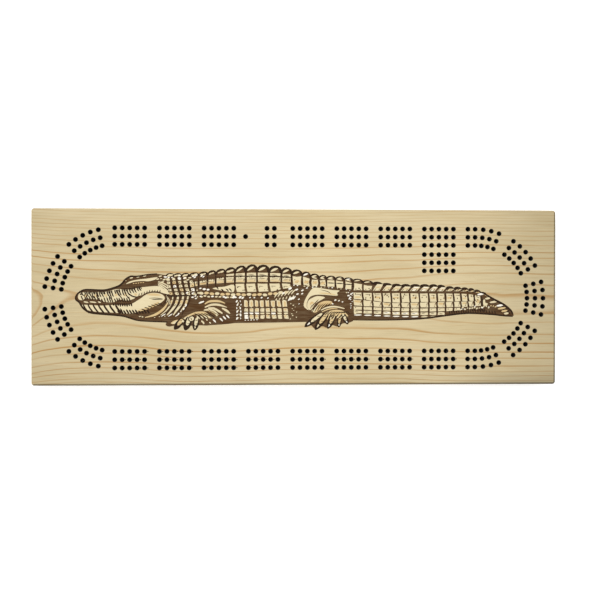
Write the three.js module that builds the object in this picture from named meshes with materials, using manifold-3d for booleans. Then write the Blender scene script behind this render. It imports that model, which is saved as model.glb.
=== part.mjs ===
// A three-lane cribbage board. A pine plank carries blind peg holes in its top face and a peg
// store routed into its underside. A thin plate swivels on one screw to open the store, hooks
// under a second screw when it is shut, and keeps nine pegs in. Four screwed rubber feet hold
// the plate clear of the table. Millimetres, +Z up; the origin is on the table, under the middle.

import * as THREE from 'three';
import { mergeGeometries, mergeVertices } from 'three/addons/utils/BufferGeometryUtils.js';
import Module from 'manifold-3d';

const wasm = await Module();
wasm.setup();

const GAP = 0.3; // clearance between pieces that touch

// Plank
const BOARD_LENGTH = 417.5;
const BOARD_WIDTH = 139.7; // a dressed nominal six-inch board
const BOARD_THICKNESS = 19;
const CORNER_RADIUS = 2.3;
const EDGE_ROUND = 2; // radius of the rounding along the edges of both faces
const EDGE_SEGMENTS = 3;

// Peg holes
const HOLE_DIAMETER = 3.2;
const HOLE_DEPTH = 9.5;
const HOLE_SIDES = 6;
const HOLE_STEP = 5.85; // from hole to hole along a straight lane
const GROUP_HOLES = 5;
const GROUP_STEPS = 6; // a group of five holes and the blank step after it
const LANE_COUNT = 3;
const LANE_INNER = 42.2; // from the track's middle line to the innermost lane
const LANE_PITCH = 6.5;
const STRAIGHT_STEPS = 49; // steps between the centres of the two end curves
const LEFT_STEP_ANGLE = 6.73; // degrees for one step round the left end curve
const RIGHT_STEP_ANGLE = 6.85;
const START_GROUP_STEP = 18; // the top straight leaves this group out for the start holes
const FINISH_STEP = 17.6;
const START_STEP = 20.5;
const START_COLUMNS = 2;
const GAME_STEP = 42; // first column of the block that counts won games
const GAME_ROWS = 3;
const GAME_OUTER_Y = 34.8;
const TRACK_X = -0.2; // the whole hole pattern sits this far off the plank's middle
const TRACK_Y = -0.7;

// Feet and screws
const FOOT_HEIGHT = 6;
const FOOT_RADIUS = 8;
const FOOT_INSET = 16; // from each edge of the plank to a foot's centre
const FOOT_SEAT = 3.4; // height of the face that the screw head bears on
const FOOT_FLARE = 0.6; // how far the foot widens from its tread to the plank
const FOOT_EDGE = 0.6; // chamfer round the tread
const FOOT_SIDES = 16;
const SCREW_RADIUS = 1.75;
const SCREW_HEAD_RADIUS = 3.4;
const SCREW_HEAD_HEIGHT = 1.8;
const SCREW_IN_WOOD = 9;
const SCREW_POINT = 2; // length of the pointed end
const SCREW_SIDES = 12;
const HEAD_CLEARANCE = 0.6; // round a screw head, in its counterbore

// Pegs
const PEG_LENGTH = 32;
const PEG_HEAD_RADIUS = 2.4;
const PEG_TIP_RADIUS = 1.25;
const PEG_PROFILE = [ // [radius, height] up from the tip: taper, ring, waist, head
  [0, 0],
  [PEG_TIP_RADIUS, 0],
  [1.5, 10],
  [1.9, 11],
  [1.6, 19],
  [PEG_HEAD_RADIUS, 27.5],
  [2, 30.5],
  [0, PEG_LENGTH],
];
const PEG_SIDES = 10;
const PEGS_OF_A_COLOUR = 3;
const PEG_COLUMN_PITCH = 35.5;
const PEG_ROW_PITCH = 6;
const PEG_COLOURS = ['red', 'blue', 'green'];

// Peg store and its cover plate
const STORE_RADIUS = 11;
const STORE_LENGTH = 118;
const STORE_DEPTH = 11;
const COVER_THICKNESS = 1.6;
const COVER_RADIUS = 13;
const PIVOT_X = 66;
const WASHER_THICKNESS = 0.5;
const WASHER_RADIUS = 4.4;
const ROUND_END_SEGMENTS = 8;
const SLOT_SEGMENTS = 6;

const OVERSHOOT = 1; // how far a cutting tool reaches past the face that it enters

const UNDERSIDE = FOOT_HEIGHT;
const TOP = UNDERSIDE + BOARD_THICKNESS;
const COVER_TOP = UNDERSIDE - GAP;
const COVER_BOTTOM = COVER_TOP - COVER_THICKNESS;
const SCREW_HOLE_RADIUS = SCREW_RADIUS + GAP;

// ---- Solids -----------------------------------------------------------------------------

function bare(geometry) {
  const copy = geometry.clone();
  copy.deleteAttribute('normal');
  copy.deleteAttribute('uv');
  return mergeVertices(copy, 1e-4);
}

function toSolid(geometry) {
  const merged = bare(geometry);
  return new wasm.Manifold(new wasm.Mesh({
    numProp: 3,
    vertProperties: new Float32Array(merged.attributes.position.array),
    triVerts: new Uint32Array(merged.index.array),
  }));
}

function toGeometry(solid) {
  const mesh = solid.getMesh();
  const geometry = new THREE.BufferGeometry();
  geometry.setAttribute('position', new THREE.BufferAttribute(mesh.vertProperties, 3));
  geometry.setIndex(new THREE.BufferAttribute(mesh.triVerts, 1));
  geometry.computeVertexNormals();
  return geometry;
}

function cut(body, tools) {
  return toGeometry(toSolid(body).subtract(toSolid(mergeGeometries(tools.map(bare)))));
}

// A shape turned about the vertical axis, from a profile of [radius, height] points.
function turned(profile, sides) {
  const points = profile.map(([radius, height]) => new THREE.Vector2(radius, height));
  return new THREE.LatheGeometry(points, sides).rotateX(Math.PI / 2);
}

function rod(radius, bottom, top, sides) {
  const height = top - bottom;
  return new THREE.CylinderGeometry(radius, radius, height, sides)
    .rotateX(Math.PI / 2)
    .translate(0, 0, bottom + height / 2);
}

function slab(shape, bottom, top, curveSegments) {
  return new THREE.ExtrudeGeometry(shape, { depth: top - bottom, bevelEnabled: false, curveSegments })
    .translate(0, 0, bottom);
}

// A slot outline with round ends, along X.
function roundEnded(length, radius) {
  const shape = new THREE.Shape();
  const centre = length / 2 - radius;
  shape.absarc(centre, 0, radius, -Math.PI / 2, Math.PI / 2, false);
  shape.absarc(-centre, 0, radius, Math.PI / 2, Math.PI * 1.5, false);
  shape.closePath();
  return shape;
}

// ---- Hole layout ------------------------------------------------------------------------

// Steps run from 0 at the centre of the left end curve to STRAIGHT_STEPS at the right one.
const stepX = (step) => (step - STRAIGHT_STEPS / 2) * HOLE_STEP;
const laneOffset = (lane) => LANE_INNER + lane * LANE_PITCH;
const CURVE_CENTRE_X = stepX(STRAIGHT_STEPS);

// A hole on an end curve; the angle is measured from the long edge towards the short end.
function curveHole(end, lane, side, degrees) {
  const angle = THREE.MathUtils.degToRad(degrees);
  const radius = laneOffset(lane);
  return [end * (CURVE_CENTRE_X + radius * Math.sin(angle)), side * radius * Math.cos(angle)];
}

function straightHoles(lane, side) {
  const holes = [];
  for (let step = 0; step <= STRAIGHT_STEPS; step += 1) {
    const group = Math.floor(step / GROUP_STEPS) * GROUP_STEPS;
    const blank = step % GROUP_STEPS === GROUP_HOLES;
    const startGap = side > 0 && group === START_GROUP_STEP;
    if (!blank && !startGap) holes.push([stepX(step), side * laneOffset(lane)]);
  }
  return holes;
}

function curveHoles(lane, side) {
  const holes = [];
  const rightGroups = [[1, 3], [5, 9]];
  const leftGroups = [[2, 6], [8, 12]];
  for (const [first, last] of rightGroups) {
    for (let step = first; step <= last; step += 1) {
      holes.push(curveHole(1, lane, side, step * RIGHT_STEP_ANGLE));
    }
  }
  for (const [first, last] of leftGroups) {
    for (let step = first; step <= last; step += 1) {
      holes.push(curveHole(-1, lane, side, step * LEFT_STEP_ANGLE));
    }
  }
  return holes;
}

// The one group that lies across the middle of the right end.
function rightEndHoles(lane) {
  const holes = [];
  for (let step = -2; step <= 2; step += 1) {
    holes.push(curveHole(1, lane, 1, 90 + step * RIGHT_STEP_ANGLE));
  }
  return holes;
}

function startHoles() {
  const holes = [[stepX(FINISH_STEP), laneOffset(1)]];
  for (let lane = 0; lane < LANE_COUNT; lane += 1) {
    for (let column = 0; column < START_COLUMNS; column += 1) {
      holes.push([stepX(START_STEP + column), laneOffset(lane)]);
    }
  }
  return holes;
}

function gameHoles() {
  const holes = [];
  for (let row = 0; row < GAME_ROWS; row += 1) {
    for (let column = 0; column < GROUP_HOLES; column += 1) {
      holes.push([stepX(GAME_STEP + column), GAME_OUTER_Y - row * LANE_PITCH]);
    }
  }
  return holes;
}

function pegHoles() {
  const holes = [...startHoles(), ...gameHoles()];
  for (let lane = 0; lane < LANE_COUNT; lane += 1) {
    holes.push(...rightEndHoles(lane));
    for (const side of [1, -1]) {
      holes.push(...straightHoles(lane, side), ...curveHoles(lane, side));
    }
  }
  return holes;
}

// The four feet by name, each with its [x, y].
function footCentres() {
  const centres = {};
  for (const [row, y] of [['back', 1], ['front', -1]]) {
    for (const [column, x] of [['left', -1], ['right', 1]]) {
      centres[`${row}_${column}`] = [x * (BOARD_LENGTH / 2 - FOOT_INSET), y * (BOARD_WIDTH / 2 - FOOT_INSET)];
    }
  }
  return centres;
}

// ---- Pieces -----------------------------------------------------------------------------

// The plank, with small round corners and the long edges of both faces rounded over.
function plank() {
  const x = BOARD_LENGTH / 2;
  const y = BOARD_WIDTH / 2;
  const r = CORNER_RADIUS;
  const outline = new THREE.Shape();
  outline.absarc(x - r, -y + r, r, -Math.PI / 2, 0, false);
  outline.absarc(x - r, y - r, r, 0, Math.PI / 2, false);
  outline.absarc(-x + r, y - r, r, Math.PI / 2, Math.PI, false);
  outline.absarc(-x + r, -y + r, r, Math.PI, Math.PI * 1.5, false);
  outline.closePath();
  return new THREE.ExtrudeGeometry(outline, {
    depth: BOARD_THICKNESS - 2 * EDGE_ROUND,
    bevelEnabled: true,
    bevelThickness: EDGE_ROUND,
    bevelSize: EDGE_ROUND,
    bevelOffset: -EDGE_ROUND,
    bevelSegments: EDGE_SEGMENTS,
    curveSegments: EDGE_SEGMENTS,
  }).translate(0, 0, UNDERSIDE + EDGE_ROUND);
}

function board() {
  const drillRadius = HOLE_DIAMETER / 2 / Math.cos(Math.PI / HOLE_SIDES);
  const drill = rod(drillRadius, TOP - HOLE_DEPTH, TOP + OVERSHOOT, HOLE_SIDES);
  const pilot = rod(SCREW_HOLE_RADIUS, UNDERSIDE - OVERSHOOT, UNDERSIDE + SCREW_IN_WOOD + GAP, SCREW_SIDES);
  const screws = [...Object.values(footCentres()), [PIVOT_X, 0], [-PIVOT_X, 0]];
  const store = roundEnded(STORE_LENGTH, STORE_RADIUS);
  return cut(plank(), [
    ...pegHoles().map(([x, y]) => drill.clone().translate(x + TRACK_X, y + TRACK_Y, 0)),
    ...screws.map(([x, y]) => pilot.clone().translate(x, y, 0)),
    slab(store, UNDERSIDE - OVERSHOOT, UNDERSIDE + STORE_DEPTH, ROUND_END_SEGMENTS),
  ]);
}

// The plate, with a round hole for its pivot and a hook slot for the latch screw. The slot
// follows the latch screw's path, so that the plate's latch end leaves towards -Y.
function cover() {
  const bottom = COVER_BOTTOM - OVERSHOOT;
  const top = COVER_TOP + OVERSHOOT;
  const outline = roundEnded(2 * (PIVOT_X + COVER_RADIUS), COVER_RADIUS);
  const plate = slab(outline, COVER_BOTTOM, COVER_TOP, ROUND_END_SEGMENTS);
  const pivotHole = rod(SCREW_HOLE_RADIUS, bottom, top, SCREW_SIDES).translate(PIVOT_X, 0, 0);
  const reach = 2 * PIVOT_X;
  const halfSlot = SCREW_HOLE_RADIUS + GAP;
  const mouthAngle = Math.PI - Math.asin((COVER_RADIUS + 2 * OVERSHOOT) / reach);
  const slot = new THREE.Shape();
  slot.absarc(PIVOT_X, 0, reach + halfSlot, mouthAngle, Math.PI, false);
  slot.absarc(-PIVOT_X, 0, halfSlot, Math.PI, Math.PI * 2, false);
  slot.absarc(PIVOT_X, 0, reach - halfSlot, Math.PI, mouthAngle, true);
  slot.closePath();
  return cut(plate, [pivotHole, slab(slot, bottom, top, SLOT_SEGMENTS)]);
}

// A screw driven upwards: a pan head whose bearing face is at the given height, then its shank.
function screw(bearing) {
  const head = bearing - SCREW_HEAD_HEIGHT;
  const end = UNDERSIDE + SCREW_IN_WOOD;
  return turned([
    [0, head],
    [SCREW_HEAD_RADIUS * 0.7, head],
    [SCREW_HEAD_RADIUS, head + SCREW_HEAD_HEIGHT / 2],
    [SCREW_HEAD_RADIUS, bearing],
    [SCREW_RADIUS, bearing],
    [SCREW_RADIUS, end - SCREW_POINT],
    [0, end],
  ], SCREW_SIDES);
}

// A rubber foot that widens towards the plank, with a counterbore that hides its screw head.
function foot() {
  const headRoom = SCREW_HEAD_RADIUS + HEAD_CLEARANCE;
  const tread = FOOT_RADIUS - FOOT_FLARE;
  return turned([
    [headRoom, 0],
    [tread - FOOT_EDGE, 0],
    [tread, FOOT_EDGE],
    [FOOT_RADIUS, FOOT_HEIGHT - GAP],
    [SCREW_HOLE_RADIUS, FOOT_HEIGHT - GAP],
    [SCREW_HOLE_RADIUS, FOOT_SEAT],
    [headRoom, FOOT_SEAT],
    [headRoom, 0],
  ], FOOT_SIDES);
}

function pivotWasher() {
  const top = COVER_BOTTOM - GAP;
  const bottom = top - WASHER_THICKNESS;
  return turned([
    [SCREW_HOLE_RADIUS, bottom],
    [WASHER_RADIUS, bottom],
    [WASHER_RADIUS, top],
    [SCREW_HOLE_RADIUS, top],
    [SCREW_HOLE_RADIUS, bottom],
  ], FOOT_SIDES);
}

// ---- Assembly ---------------------------------------------------------------------------

const MATERIALS = {
  pine: new THREE.MeshStandardMaterial({ color: 0xd9c8a0, roughness: 0.6, metalness: 0 }),
  rubber: new THREE.MeshStandardMaterial({ color: 0x1c1c1c, roughness: 0.85, metalness: 0 }),
  steel: new THREE.MeshStandardMaterial({ color: 0xb4b4b2, roughness: 0.35, metalness: 1 }),
  brass: new THREE.MeshStandardMaterial({ color: 0xc39a4e, roughness: 0.35, metalness: 1 }),
  red: new THREE.MeshStandardMaterial({ color: 0xa3271f, roughness: 0.4, metalness: 0 }),
  blue: new THREE.MeshStandardMaterial({ color: 0x24468c, roughness: 0.4, metalness: 0 }),
  green: new THREE.MeshStandardMaterial({ color: 0x2f6b3a, roughness: 0.4, metalness: 0 }),
};

const object = new THREE.Group();

function add(name, geometry, material, parent = object) {
  const mesh = new THREE.Mesh(geometry, MATERIALS[material]);
  mesh.name = name;
  parent.add(mesh);
  return mesh;
}

function addFeet() {
  for (const [corner, [x, y]] of Object.entries(footCentres())) {
    add(`foot_${corner}`, foot(), 'rubber').position.set(x, y, 0);
    add(`foot_screw_${corner}`, screw(FOOT_SEAT - GAP), 'steel').position.set(x, y, 0);
  }
}

function addCover() {
  const washerBottom = COVER_BOTTOM - GAP - WASHER_THICKNESS;
  add('peg_store_cover', cover(), 'brass');
  add('cover_pivot_washer', pivotWasher(), 'steel').position.x = PIVOT_X;
  add('cover_pivot_screw', screw(washerBottom - GAP), 'brass').position.x = PIVOT_X;
  add('cover_latch_screw', screw(COVER_BOTTOM - GAP), 'brass').position.x = -PIVOT_X;
}

// Each colour's three pegs lie side by side in one column of the store, on the cover plate.
function addPegs() {
  const lean = Math.asin((PEG_HEAD_RADIUS - PEG_TIP_RADIUS) / PEG_LENGTH);
  PEG_COLOURS.forEach((colour, column) => {
    for (let row = 0; row < PEGS_OF_A_COLOUR; row += 1) {
      const shape = turned(PEG_PROFILE, PEG_SIDES).translate(0, 0, -PEG_LENGTH / 2);
      const mesh = add(`peg_${colour}_${row + 1}`, shape, colour);
      mesh.rotation.y = Math.PI / 2 - lean;
      mesh.position.x = (column - 1) * PEG_COLUMN_PITCH;
      mesh.position.y = (row - 1) * PEG_ROW_PITCH;
      mesh.position.z = COVER_TOP + GAP + (PEG_HEAD_RADIUS + PEG_TIP_RADIUS) / 2;
    }
  });
}

add('board', board(), 'pine');
addFeet();
addCover();
addPegs();

export default object;
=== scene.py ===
import math

import bpy
import numpy as np
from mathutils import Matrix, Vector
from mathutils.geometry import delaunay_2d_cdt


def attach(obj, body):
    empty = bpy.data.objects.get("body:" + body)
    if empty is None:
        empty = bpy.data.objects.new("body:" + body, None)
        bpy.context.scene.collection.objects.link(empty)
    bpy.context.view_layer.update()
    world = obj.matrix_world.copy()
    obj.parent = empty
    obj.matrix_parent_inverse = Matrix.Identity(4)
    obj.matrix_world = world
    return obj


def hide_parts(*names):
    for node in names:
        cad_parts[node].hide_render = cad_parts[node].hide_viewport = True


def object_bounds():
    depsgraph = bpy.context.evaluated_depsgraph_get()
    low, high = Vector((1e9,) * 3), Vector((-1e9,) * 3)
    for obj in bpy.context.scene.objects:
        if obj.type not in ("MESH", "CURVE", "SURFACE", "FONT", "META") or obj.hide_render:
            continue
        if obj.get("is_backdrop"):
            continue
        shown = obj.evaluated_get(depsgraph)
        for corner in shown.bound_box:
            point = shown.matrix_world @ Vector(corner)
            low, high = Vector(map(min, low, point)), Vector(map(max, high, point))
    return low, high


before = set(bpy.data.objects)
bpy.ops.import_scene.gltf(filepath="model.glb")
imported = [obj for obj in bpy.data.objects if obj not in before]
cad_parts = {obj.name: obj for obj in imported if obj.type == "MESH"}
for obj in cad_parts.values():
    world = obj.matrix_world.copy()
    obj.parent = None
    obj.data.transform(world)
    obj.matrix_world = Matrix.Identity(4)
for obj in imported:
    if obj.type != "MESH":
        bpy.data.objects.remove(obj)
cad_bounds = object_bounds()

# ------------------------------------------------------------------------------------------
# Sizes of the design, in millimetres. Meshes are made in these and scaled to metres at the end.

MM = 0.001

BOARD_LENGTH = 417.5
BOARD_WIDTH = 139.7
UNDERSIDE = 6
TOP = 25
CORNER_RADIUS = 2.3
EDGE_ROUND = 2

HOLE_RADIUS = 1.6
HOLE_DEPTH = 9.5
HOLE_EASE = 0.4
HOLE_SIDES = 24
DRILL_POINT = 0.7
BURN_DEPTH = 0.15

HOLE_STEP = 5.85
GROUP_HOLES = 5
GROUP_STEPS = 6
LANES = 3
LANE_INNER = 42.2
LANE_PITCH = 6.5
STRAIGHT_STEPS = 49
LEFT_STEP_ANGLE = 6.73
RIGHT_STEP_ANGLE = 6.85
START_GROUP_STEP = 18
FINISH_STEP = 17.6
START_STEP = 20.5
GAME_STEP = 42
GAME_ROWS = 3
GAME_OUTER_Y = 34.8
# The hole pattern and the drawing sit this far off the plank's middle.
TRACK_X = -0.2
TRACK_Y = -0.7
LANE_OFFSETS = [LANE_INNER + lane * LANE_PITCH for lane in range(LANES)]

STORE_LENGTH = 118
STORE_RADIUS = 11
STORE_DEPTH = 11
PIVOT_X = 66
SCREW_HOLE_RADIUS = 2.05
SCREW_IN_WOOD = 9
FOOT_X = 192.75
FOOT_Y = 53.85

# The skins of the board's mesh, in the order of its material slots.
PINE, BURN, CHAR, TOASTED, PALE, WHITE, HOLE = range(7)

# The strips of the board's flat map: where each starts, counted in widths of the board, and the gap.
STRIPS = {"top": 0, "underside": 1, "back": 2, "front": 2.17, "ends": 2.34, "inside": 2.51}
STRIP_GAP = 4


# ------------------------------------------------------------------------------------------
# Meshes

def pairs(items):
    """Each item with the one after it."""
    return list(zip(items, items[1:]))


class Shape:
    """Vertices and faces in millimetres, with each face's material slot."""

    def __init__(self):
        self.points = []
        self.faces = []
        self.skins = []

    def ring(self, outline, z):
        """Adds an outline of (x, y) points at one height. Returns the numbers of its vertices."""
        first = len(self.points)
        self.points += [(x, y, z) for x, y in outline]
        return list(range(first, len(self.points)))

    def face(self, corners, skin=0):
        self.faces.append(tuple(corners))
        self.skins.append(skin)

    def skirt(self, upper, lower, skin=0):
        """Quads between two anticlockwise rings. They face outward, or inward with the rings swapped."""
        for i in range(len(upper)):
            j = (i + 1) % len(upper)
            self.face((upper[i], lower[i], lower[j], upper[j]), skin)

    def fan(self, ring, centre, skin=0):
        """Triangles from an anticlockwise ring to a point, facing up."""
        self.points.append(centre)
        tip = len(self.points) - 1
        for i in range(len(ring)):
            self.face((ring[i], ring[(i + 1) % len(ring)], tip), skin)

    def build(self, name, skins, body, replaced, crease=35):
        """Makes the object, which rides on a body and stands for a CAD node."""
        mesh = bpy.data.meshes.new(name)
        mesh.from_pydata([Vector(p) * MM for p in self.points], [], self.faces)
        for skin in skins:
            mesh.materials.append(skin)
        mesh.polygons.foreach_set("material_index", self.skins)
        mesh.shade_smooth()
        mesh.set_sharp_from_angle(angle=math.radians(crease))
        piece = bpy.data.objects.new(name, mesh)
        bpy.context.scene.collection.objects.link(piece)
        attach(piece, body)
        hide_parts(replaced)
        return piece


def circle(radius, sides, x=0, y=0):
    """Points of a circle, anticlockwise."""
    return [(x + radius * math.cos(math.tau * k / sides), y + radius * math.sin(math.tau * k / sides))
            for k in range(sides)]


def rounded_rectangle(length, width, radius, steps=6):
    """Points of a rectangle with round corners, anticlockwise."""
    points = []
    for corner, (sx, sy) in enumerate(((1, 1), (-1, 1), (-1, -1), (1, -1))):
        x, y = sx * (length / 2 - radius), sy * (width / 2 - radius)
        for k in range(steps + 1):
            angle = math.pi / 2 * (corner + k / steps)
            points.append((x + radius * math.cos(angle), y + radius * math.sin(angle)))
    return points


def turned(shape, profile, sides, place=None):
    """Adds a body of revolution about +Z, moved by place.

    The profile is (radius, height) points. It runs upward on the outside, from the axis to the axis
    or round to its own start.
    """
    place = place or (lambda x, y, z: (x, y, z))
    rings = []
    for radius, height in profile:
        first = len(shape.points)
        outline = circle(radius, sides) if radius else [(0, 0)]
        shape.points += [place(x, y, height) for x, y in outline]
        rings.append(list(range(first, len(shape.points))))
    if profile[0][0]:
        rings.append(rings[0])
    for lower, upper in pairs(rings):
        for i in range(sides):
            j = (i + 1) % sides
            if len(lower) == 1:
                shape.face((lower[0], upper[j], upper[i]))
            elif len(upper) == 1:
                shape.face((lower[i], lower[j], upper[0]))
            else:
                shape.face((lower[i], lower[j], upper[j], upper[i]))


def winds_round(outline, x, y):
    """For each point of two arrays, whether the outline goes round it."""
    turns = np.zeros(len(x), int)
    for (x0, y0), (x1, y1) in zip(outline, outline[1:] + outline[:1]):
        left = (x1 - x0) * (y - y0) > (x - x0) * (y1 - y0)
        turns += (y0 <= y) & (y < y1) & left
        turns -= (y1 <= y) & (y < y0) & ~left
    return turns != 0


def owners(triangles, places, outlines):
    """The number of the last outline that each triangle lies in, or -1."""
    middle = np.array([[sum(places[k][axis] for k in t) / 3 for axis in (0, 1)] for t in triangles])
    owner = np.full(len(triangles), -1)
    for number, outline in enumerate(outlines):
        corners = np.array(outline)
        near = np.flatnonzero(((middle > corners.min(0)) & (middle < corners.max(0))).all(1))
        owner[near[winds_round(outline, *middle[near].T)]] = number
    return owner


def triangulated(outlines):
    """Fills the outlines with triangles that keep their edges.

    Returns the places of the corners, the triangles, and the corners that each outline runs through.
    """
    every_triangle, same_place = 0, 1e-5
    flat = []
    loops = []
    for outline in outlines:
        loops.append(list(range(len(flat), len(flat) + len(outline))))
        flat += [Vector(point) for point in outline]
    edges = [pair for loop in loops for pair in zip(loop, loop[1:] + loop[:1])]
    places, _, triangles, sources, _, _ = delaunay_2d_cdt(flat, edges, [], every_triangle, same_place)
    place_of = {source: place for place, merged in enumerate(sources) for source in merged}
    return places, triangles, [[place_of[source] for source in loop] for loop in loops]


def sheet(shape, border, holes, figures, z, up=True, sunk=(), depth=0.0):
    """Fills a flat outline at height z round its holes. Returns the rings of the border and of each hole.

    The figures are (skin, outline) from the lowest to the highest. Skins in sunk lie deeper by depth.
    """
    outlines = [border] + holes + [outline for _, outline in figures]
    places, triangles, loops = triangulated(outlines)
    first_figure = 1 + len(holes)
    inward = -depth if up else depth
    numbers = {}

    def vertex(place, low):
        if (place, low) not in numbers:
            numbers[place, low] = len(shape.points)
            shape.points.append((places[place].x, places[place].y, z + inward * low))
        return numbers[place, low]

    sides = {}
    for triangle, owner in zip(triangles, owners(triangles, places, outlines)):
        if owner < 0 or 0 < owner < first_figure:
            continue
        skin = figures[owner - first_figure][0] if owner else 0
        low = skin in sunk
        corners = [vertex(place, low) for place in triangle]
        shape.face(corners if up else corners[::-1], skin)
        for a, b in zip(triangle, triangle[1:] + triangle[:1]):
            sides[a, b] = (low, skin)
    for (a, b), (low, skin) in sides.items():
        if low and not sides.get((b, a), (True, skin))[0]:
            wall = (vertex(a, True), vertex(a, False), vertex(b, False), vertex(b, True))
            shape.face(wall if up else wall[::-1], skin)
    return [[vertex(place, False) for place in loop] for loop in loops[:first_figure]]


# ------------------------------------------------------------------------------------------
# Materials

def linear(*levels):
    """A colour given as 0 to 255 screen levels, as the linear RGBA that a shader takes."""
    straight_below = 10.3
    parts = [v / 255 / 12.92 if v < straight_below else ((v / 255 + 0.055) / 1.055) ** 2.4 for v in levels]
    return (*parts, 1)


def feed(tree, entry, value):
    """Links a value or a socket to a node's input, or sets the input to a plain number or colour."""
    if isinstance(value, Value):
        tree.links.new(value.socket, entry)
    elif isinstance(value, bpy.types.NodeSocket):
        tree.links.new(value, entry)
    else:
        entry.default_value = value


class Value:
    """A number made by a node, so that a pattern's formula reads as ordinary arithmetic."""

    def __init__(self, tree, socket):
        self.tree = tree
        self.socket = socket

    def math(self, operation, *others):
        node = self.tree.nodes.new("ShaderNodeMath")
        node.operation = operation
        self.tree.links.new(self.socket, node.inputs[0])
        for entry, other in zip(node.inputs[1:], others):
            feed(self.tree, entry, other)
        return Value(self.tree, node.outputs[0])

    def __add__(self, other):
        return self.math("ADD", other)

    def __sub__(self, other):
        return self.math("SUBTRACT", other)

    def __mul__(self, other):
        return self.math("MULTIPLY", other)

    def __pow__(self, other):
        return self.math("POWER", other)

    def ramp(self, start, stop, low=0.0, high=1.0):
        """A smooth step from low to high between two values."""
        node = self.tree.nodes.new("ShaderNodeMapRange")
        node.interpolation_type = "SMOOTHSTEP"
        for entry, value in zip(node.inputs[1:5], (start, stop, low, high)):
            entry.default_value = value
        self.tree.links.new(self.socket, node.inputs[0])
        return Value(self.tree, node.outputs[0])

    def along(self, points, straight=False):
        """The height, at this value, of a curve through (place, height) points."""
        first, last = points[0][0], points[-1][0]
        low, high = min(h for _, h in points), max(h for _, h in points)
        node = self.tree.nodes.new("ShaderNodeFloatCurve")
        curve = node.mapping.curves[0]
        for i, (place, height) in enumerate(points):
            spot = ((place - first) / (last - first), (height - low) / (high - low))
            knot = curve.points[i] if i < 2 else curve.points.new(*spot)
            knot.location = spot
        for knot in curve.points:
            knot.handle_type = "VECTOR" if straight else "AUTO_CLAMPED"
        node.mapping.update()
        self.tree.links.new(((self - first) * (1 / (last - first))).socket, node.inputs["Value"])
        return Value(self.tree, node.outputs[0]) * (high - low) + low


def node_with(tree, kind, links, **settings):
    """A node with its inputs linked or set, and its settings."""
    node = tree.nodes.new(kind)
    for name, value in settings.items():
        setattr(node, name, value)
    for name, value in links.items():
        feed(tree, node.inputs[name], value)
    return node


def position(tree):
    """The point's x, y and z on the object, in millimetres."""
    source = tree.nodes.new("ShaderNodeTexCoord")
    parts = node_with(tree, "ShaderNodeSeparateXYZ", {"Vector": source.outputs["Object"]})
    return [Value(tree, socket) * (1 / MM) for socket in parts.outputs]


def noise(tree, x, y, z, scale=1.0, detail=2.0, roughness=0.5):
    """Noise from 0 to 1 at a point whose coordinates may be stretched."""
    point = node_with(tree, "ShaderNodeCombineXYZ", {"X": x, "Y": y, "Z": z})
    node = node_with(tree, "ShaderNodeTexNoise", {
        "Vector": point.outputs[0], "Scale": scale, "Detail": detail, "Roughness": roughness})
    return Value(tree, node.outputs["Fac"])


def blend(tree, share, first, second, how="MIX"):
    """Two colours mixed by a share, which may be a value from the pattern."""
    node = tree.nodes.new("ShaderNodeMix")
    node.data_type = "RGBA"
    node.blend_type = how
    for entry, value in ((node.inputs[0], share), (node.inputs[6], first), (node.inputs[7], second)):
        feed(tree, entry, value)
    return node.outputs[2]


def shaded(tree, colour, level):
    """A colour made lighter or darker by a value near 1."""
    grey = node_with(tree, "ShaderNodeCombineColor", {"Red": level, "Green": level, "Blue": level})
    return blend(tree, 1.0, colour, grey.outputs[0], "MULTIPLY")


def material(name, roughness=0.5, metallic=0.0):
    """An empty material. Returns it with its tree and its Principled shader."""
    made = bpy.data.materials.new(name)
    made.use_nodes = True
    shader = made.node_tree.nodes["Principled BSDF"]
    shader.inputs["Roughness"].default_value = roughness
    shader.inputs["Metallic"].default_value = metallic
    return made, made.node_tree, shader


def bump(tree, shader, height, distance, strength=1.0):
    """Bends the surface by a height from 0 to 1; distance is in millimetres."""
    node = node_with(tree, "ShaderNodeBump", {
        "Height": height, "Distance": distance * MM, "Strength": strength})
    tree.links.new(node.outputs[0], shader.inputs["Normal"])


# The plank is flat-sawn: the log's pith runs along it, under the face. Across the grain one
# side is stretched more than the other, and the pith's depth wanders along the length.
PITH_Y = -2
FAR_SIDE = (0.74, 0.0018)
DEPTH_ABOVE = [(-208, 30), (-179, 32.7), (-149, 33.7), (-77, 35), (-5, 34.8), (83, 33), (163, 30.5),
               (208, 31)]
DEPTH_BELOW = [(-208, 29.4), (-152, 34.4), (-67, 30.5), (3, 33), (43, 33), (163, 29.8), (208, 30)]
# The radius of each dark ring of latewood round the pith.
RING_RADII = [0, 4.5, 9, 13.5, 18, 22.5, 27, 31.05, 33.2, 37.4, 41.2, 45.5, 48.9, 53.7, 57.1, 59.9, 63.3,
              65.4, 68, 70.8, 72.5, 74.8, 77, 80]
# How dark each ring is on the +Y side and on the -Y side, counted from the pith.
DARK_ABOVE = [1, 1, 1, 1, 1, 1, 1, 0.8, 0.6, 0.7, 0.9, 0.85, 0.9, 0.7, 0.6, 0.7, 0.6, 0.7, 0.6, 0.7, 0.6,
              0.7, 0.6, 0.6]
DARK_BELOW = [1, 1, 1, 1, 1, 1, 1, 0.8, 0.75, 0.9, 0.9, 1, 0.8, 1, 0.75, 0.8, 0.7, 0.75, 0.6, 0.7, 0.6, 0.7,
              0.6, 0.6]

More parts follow.
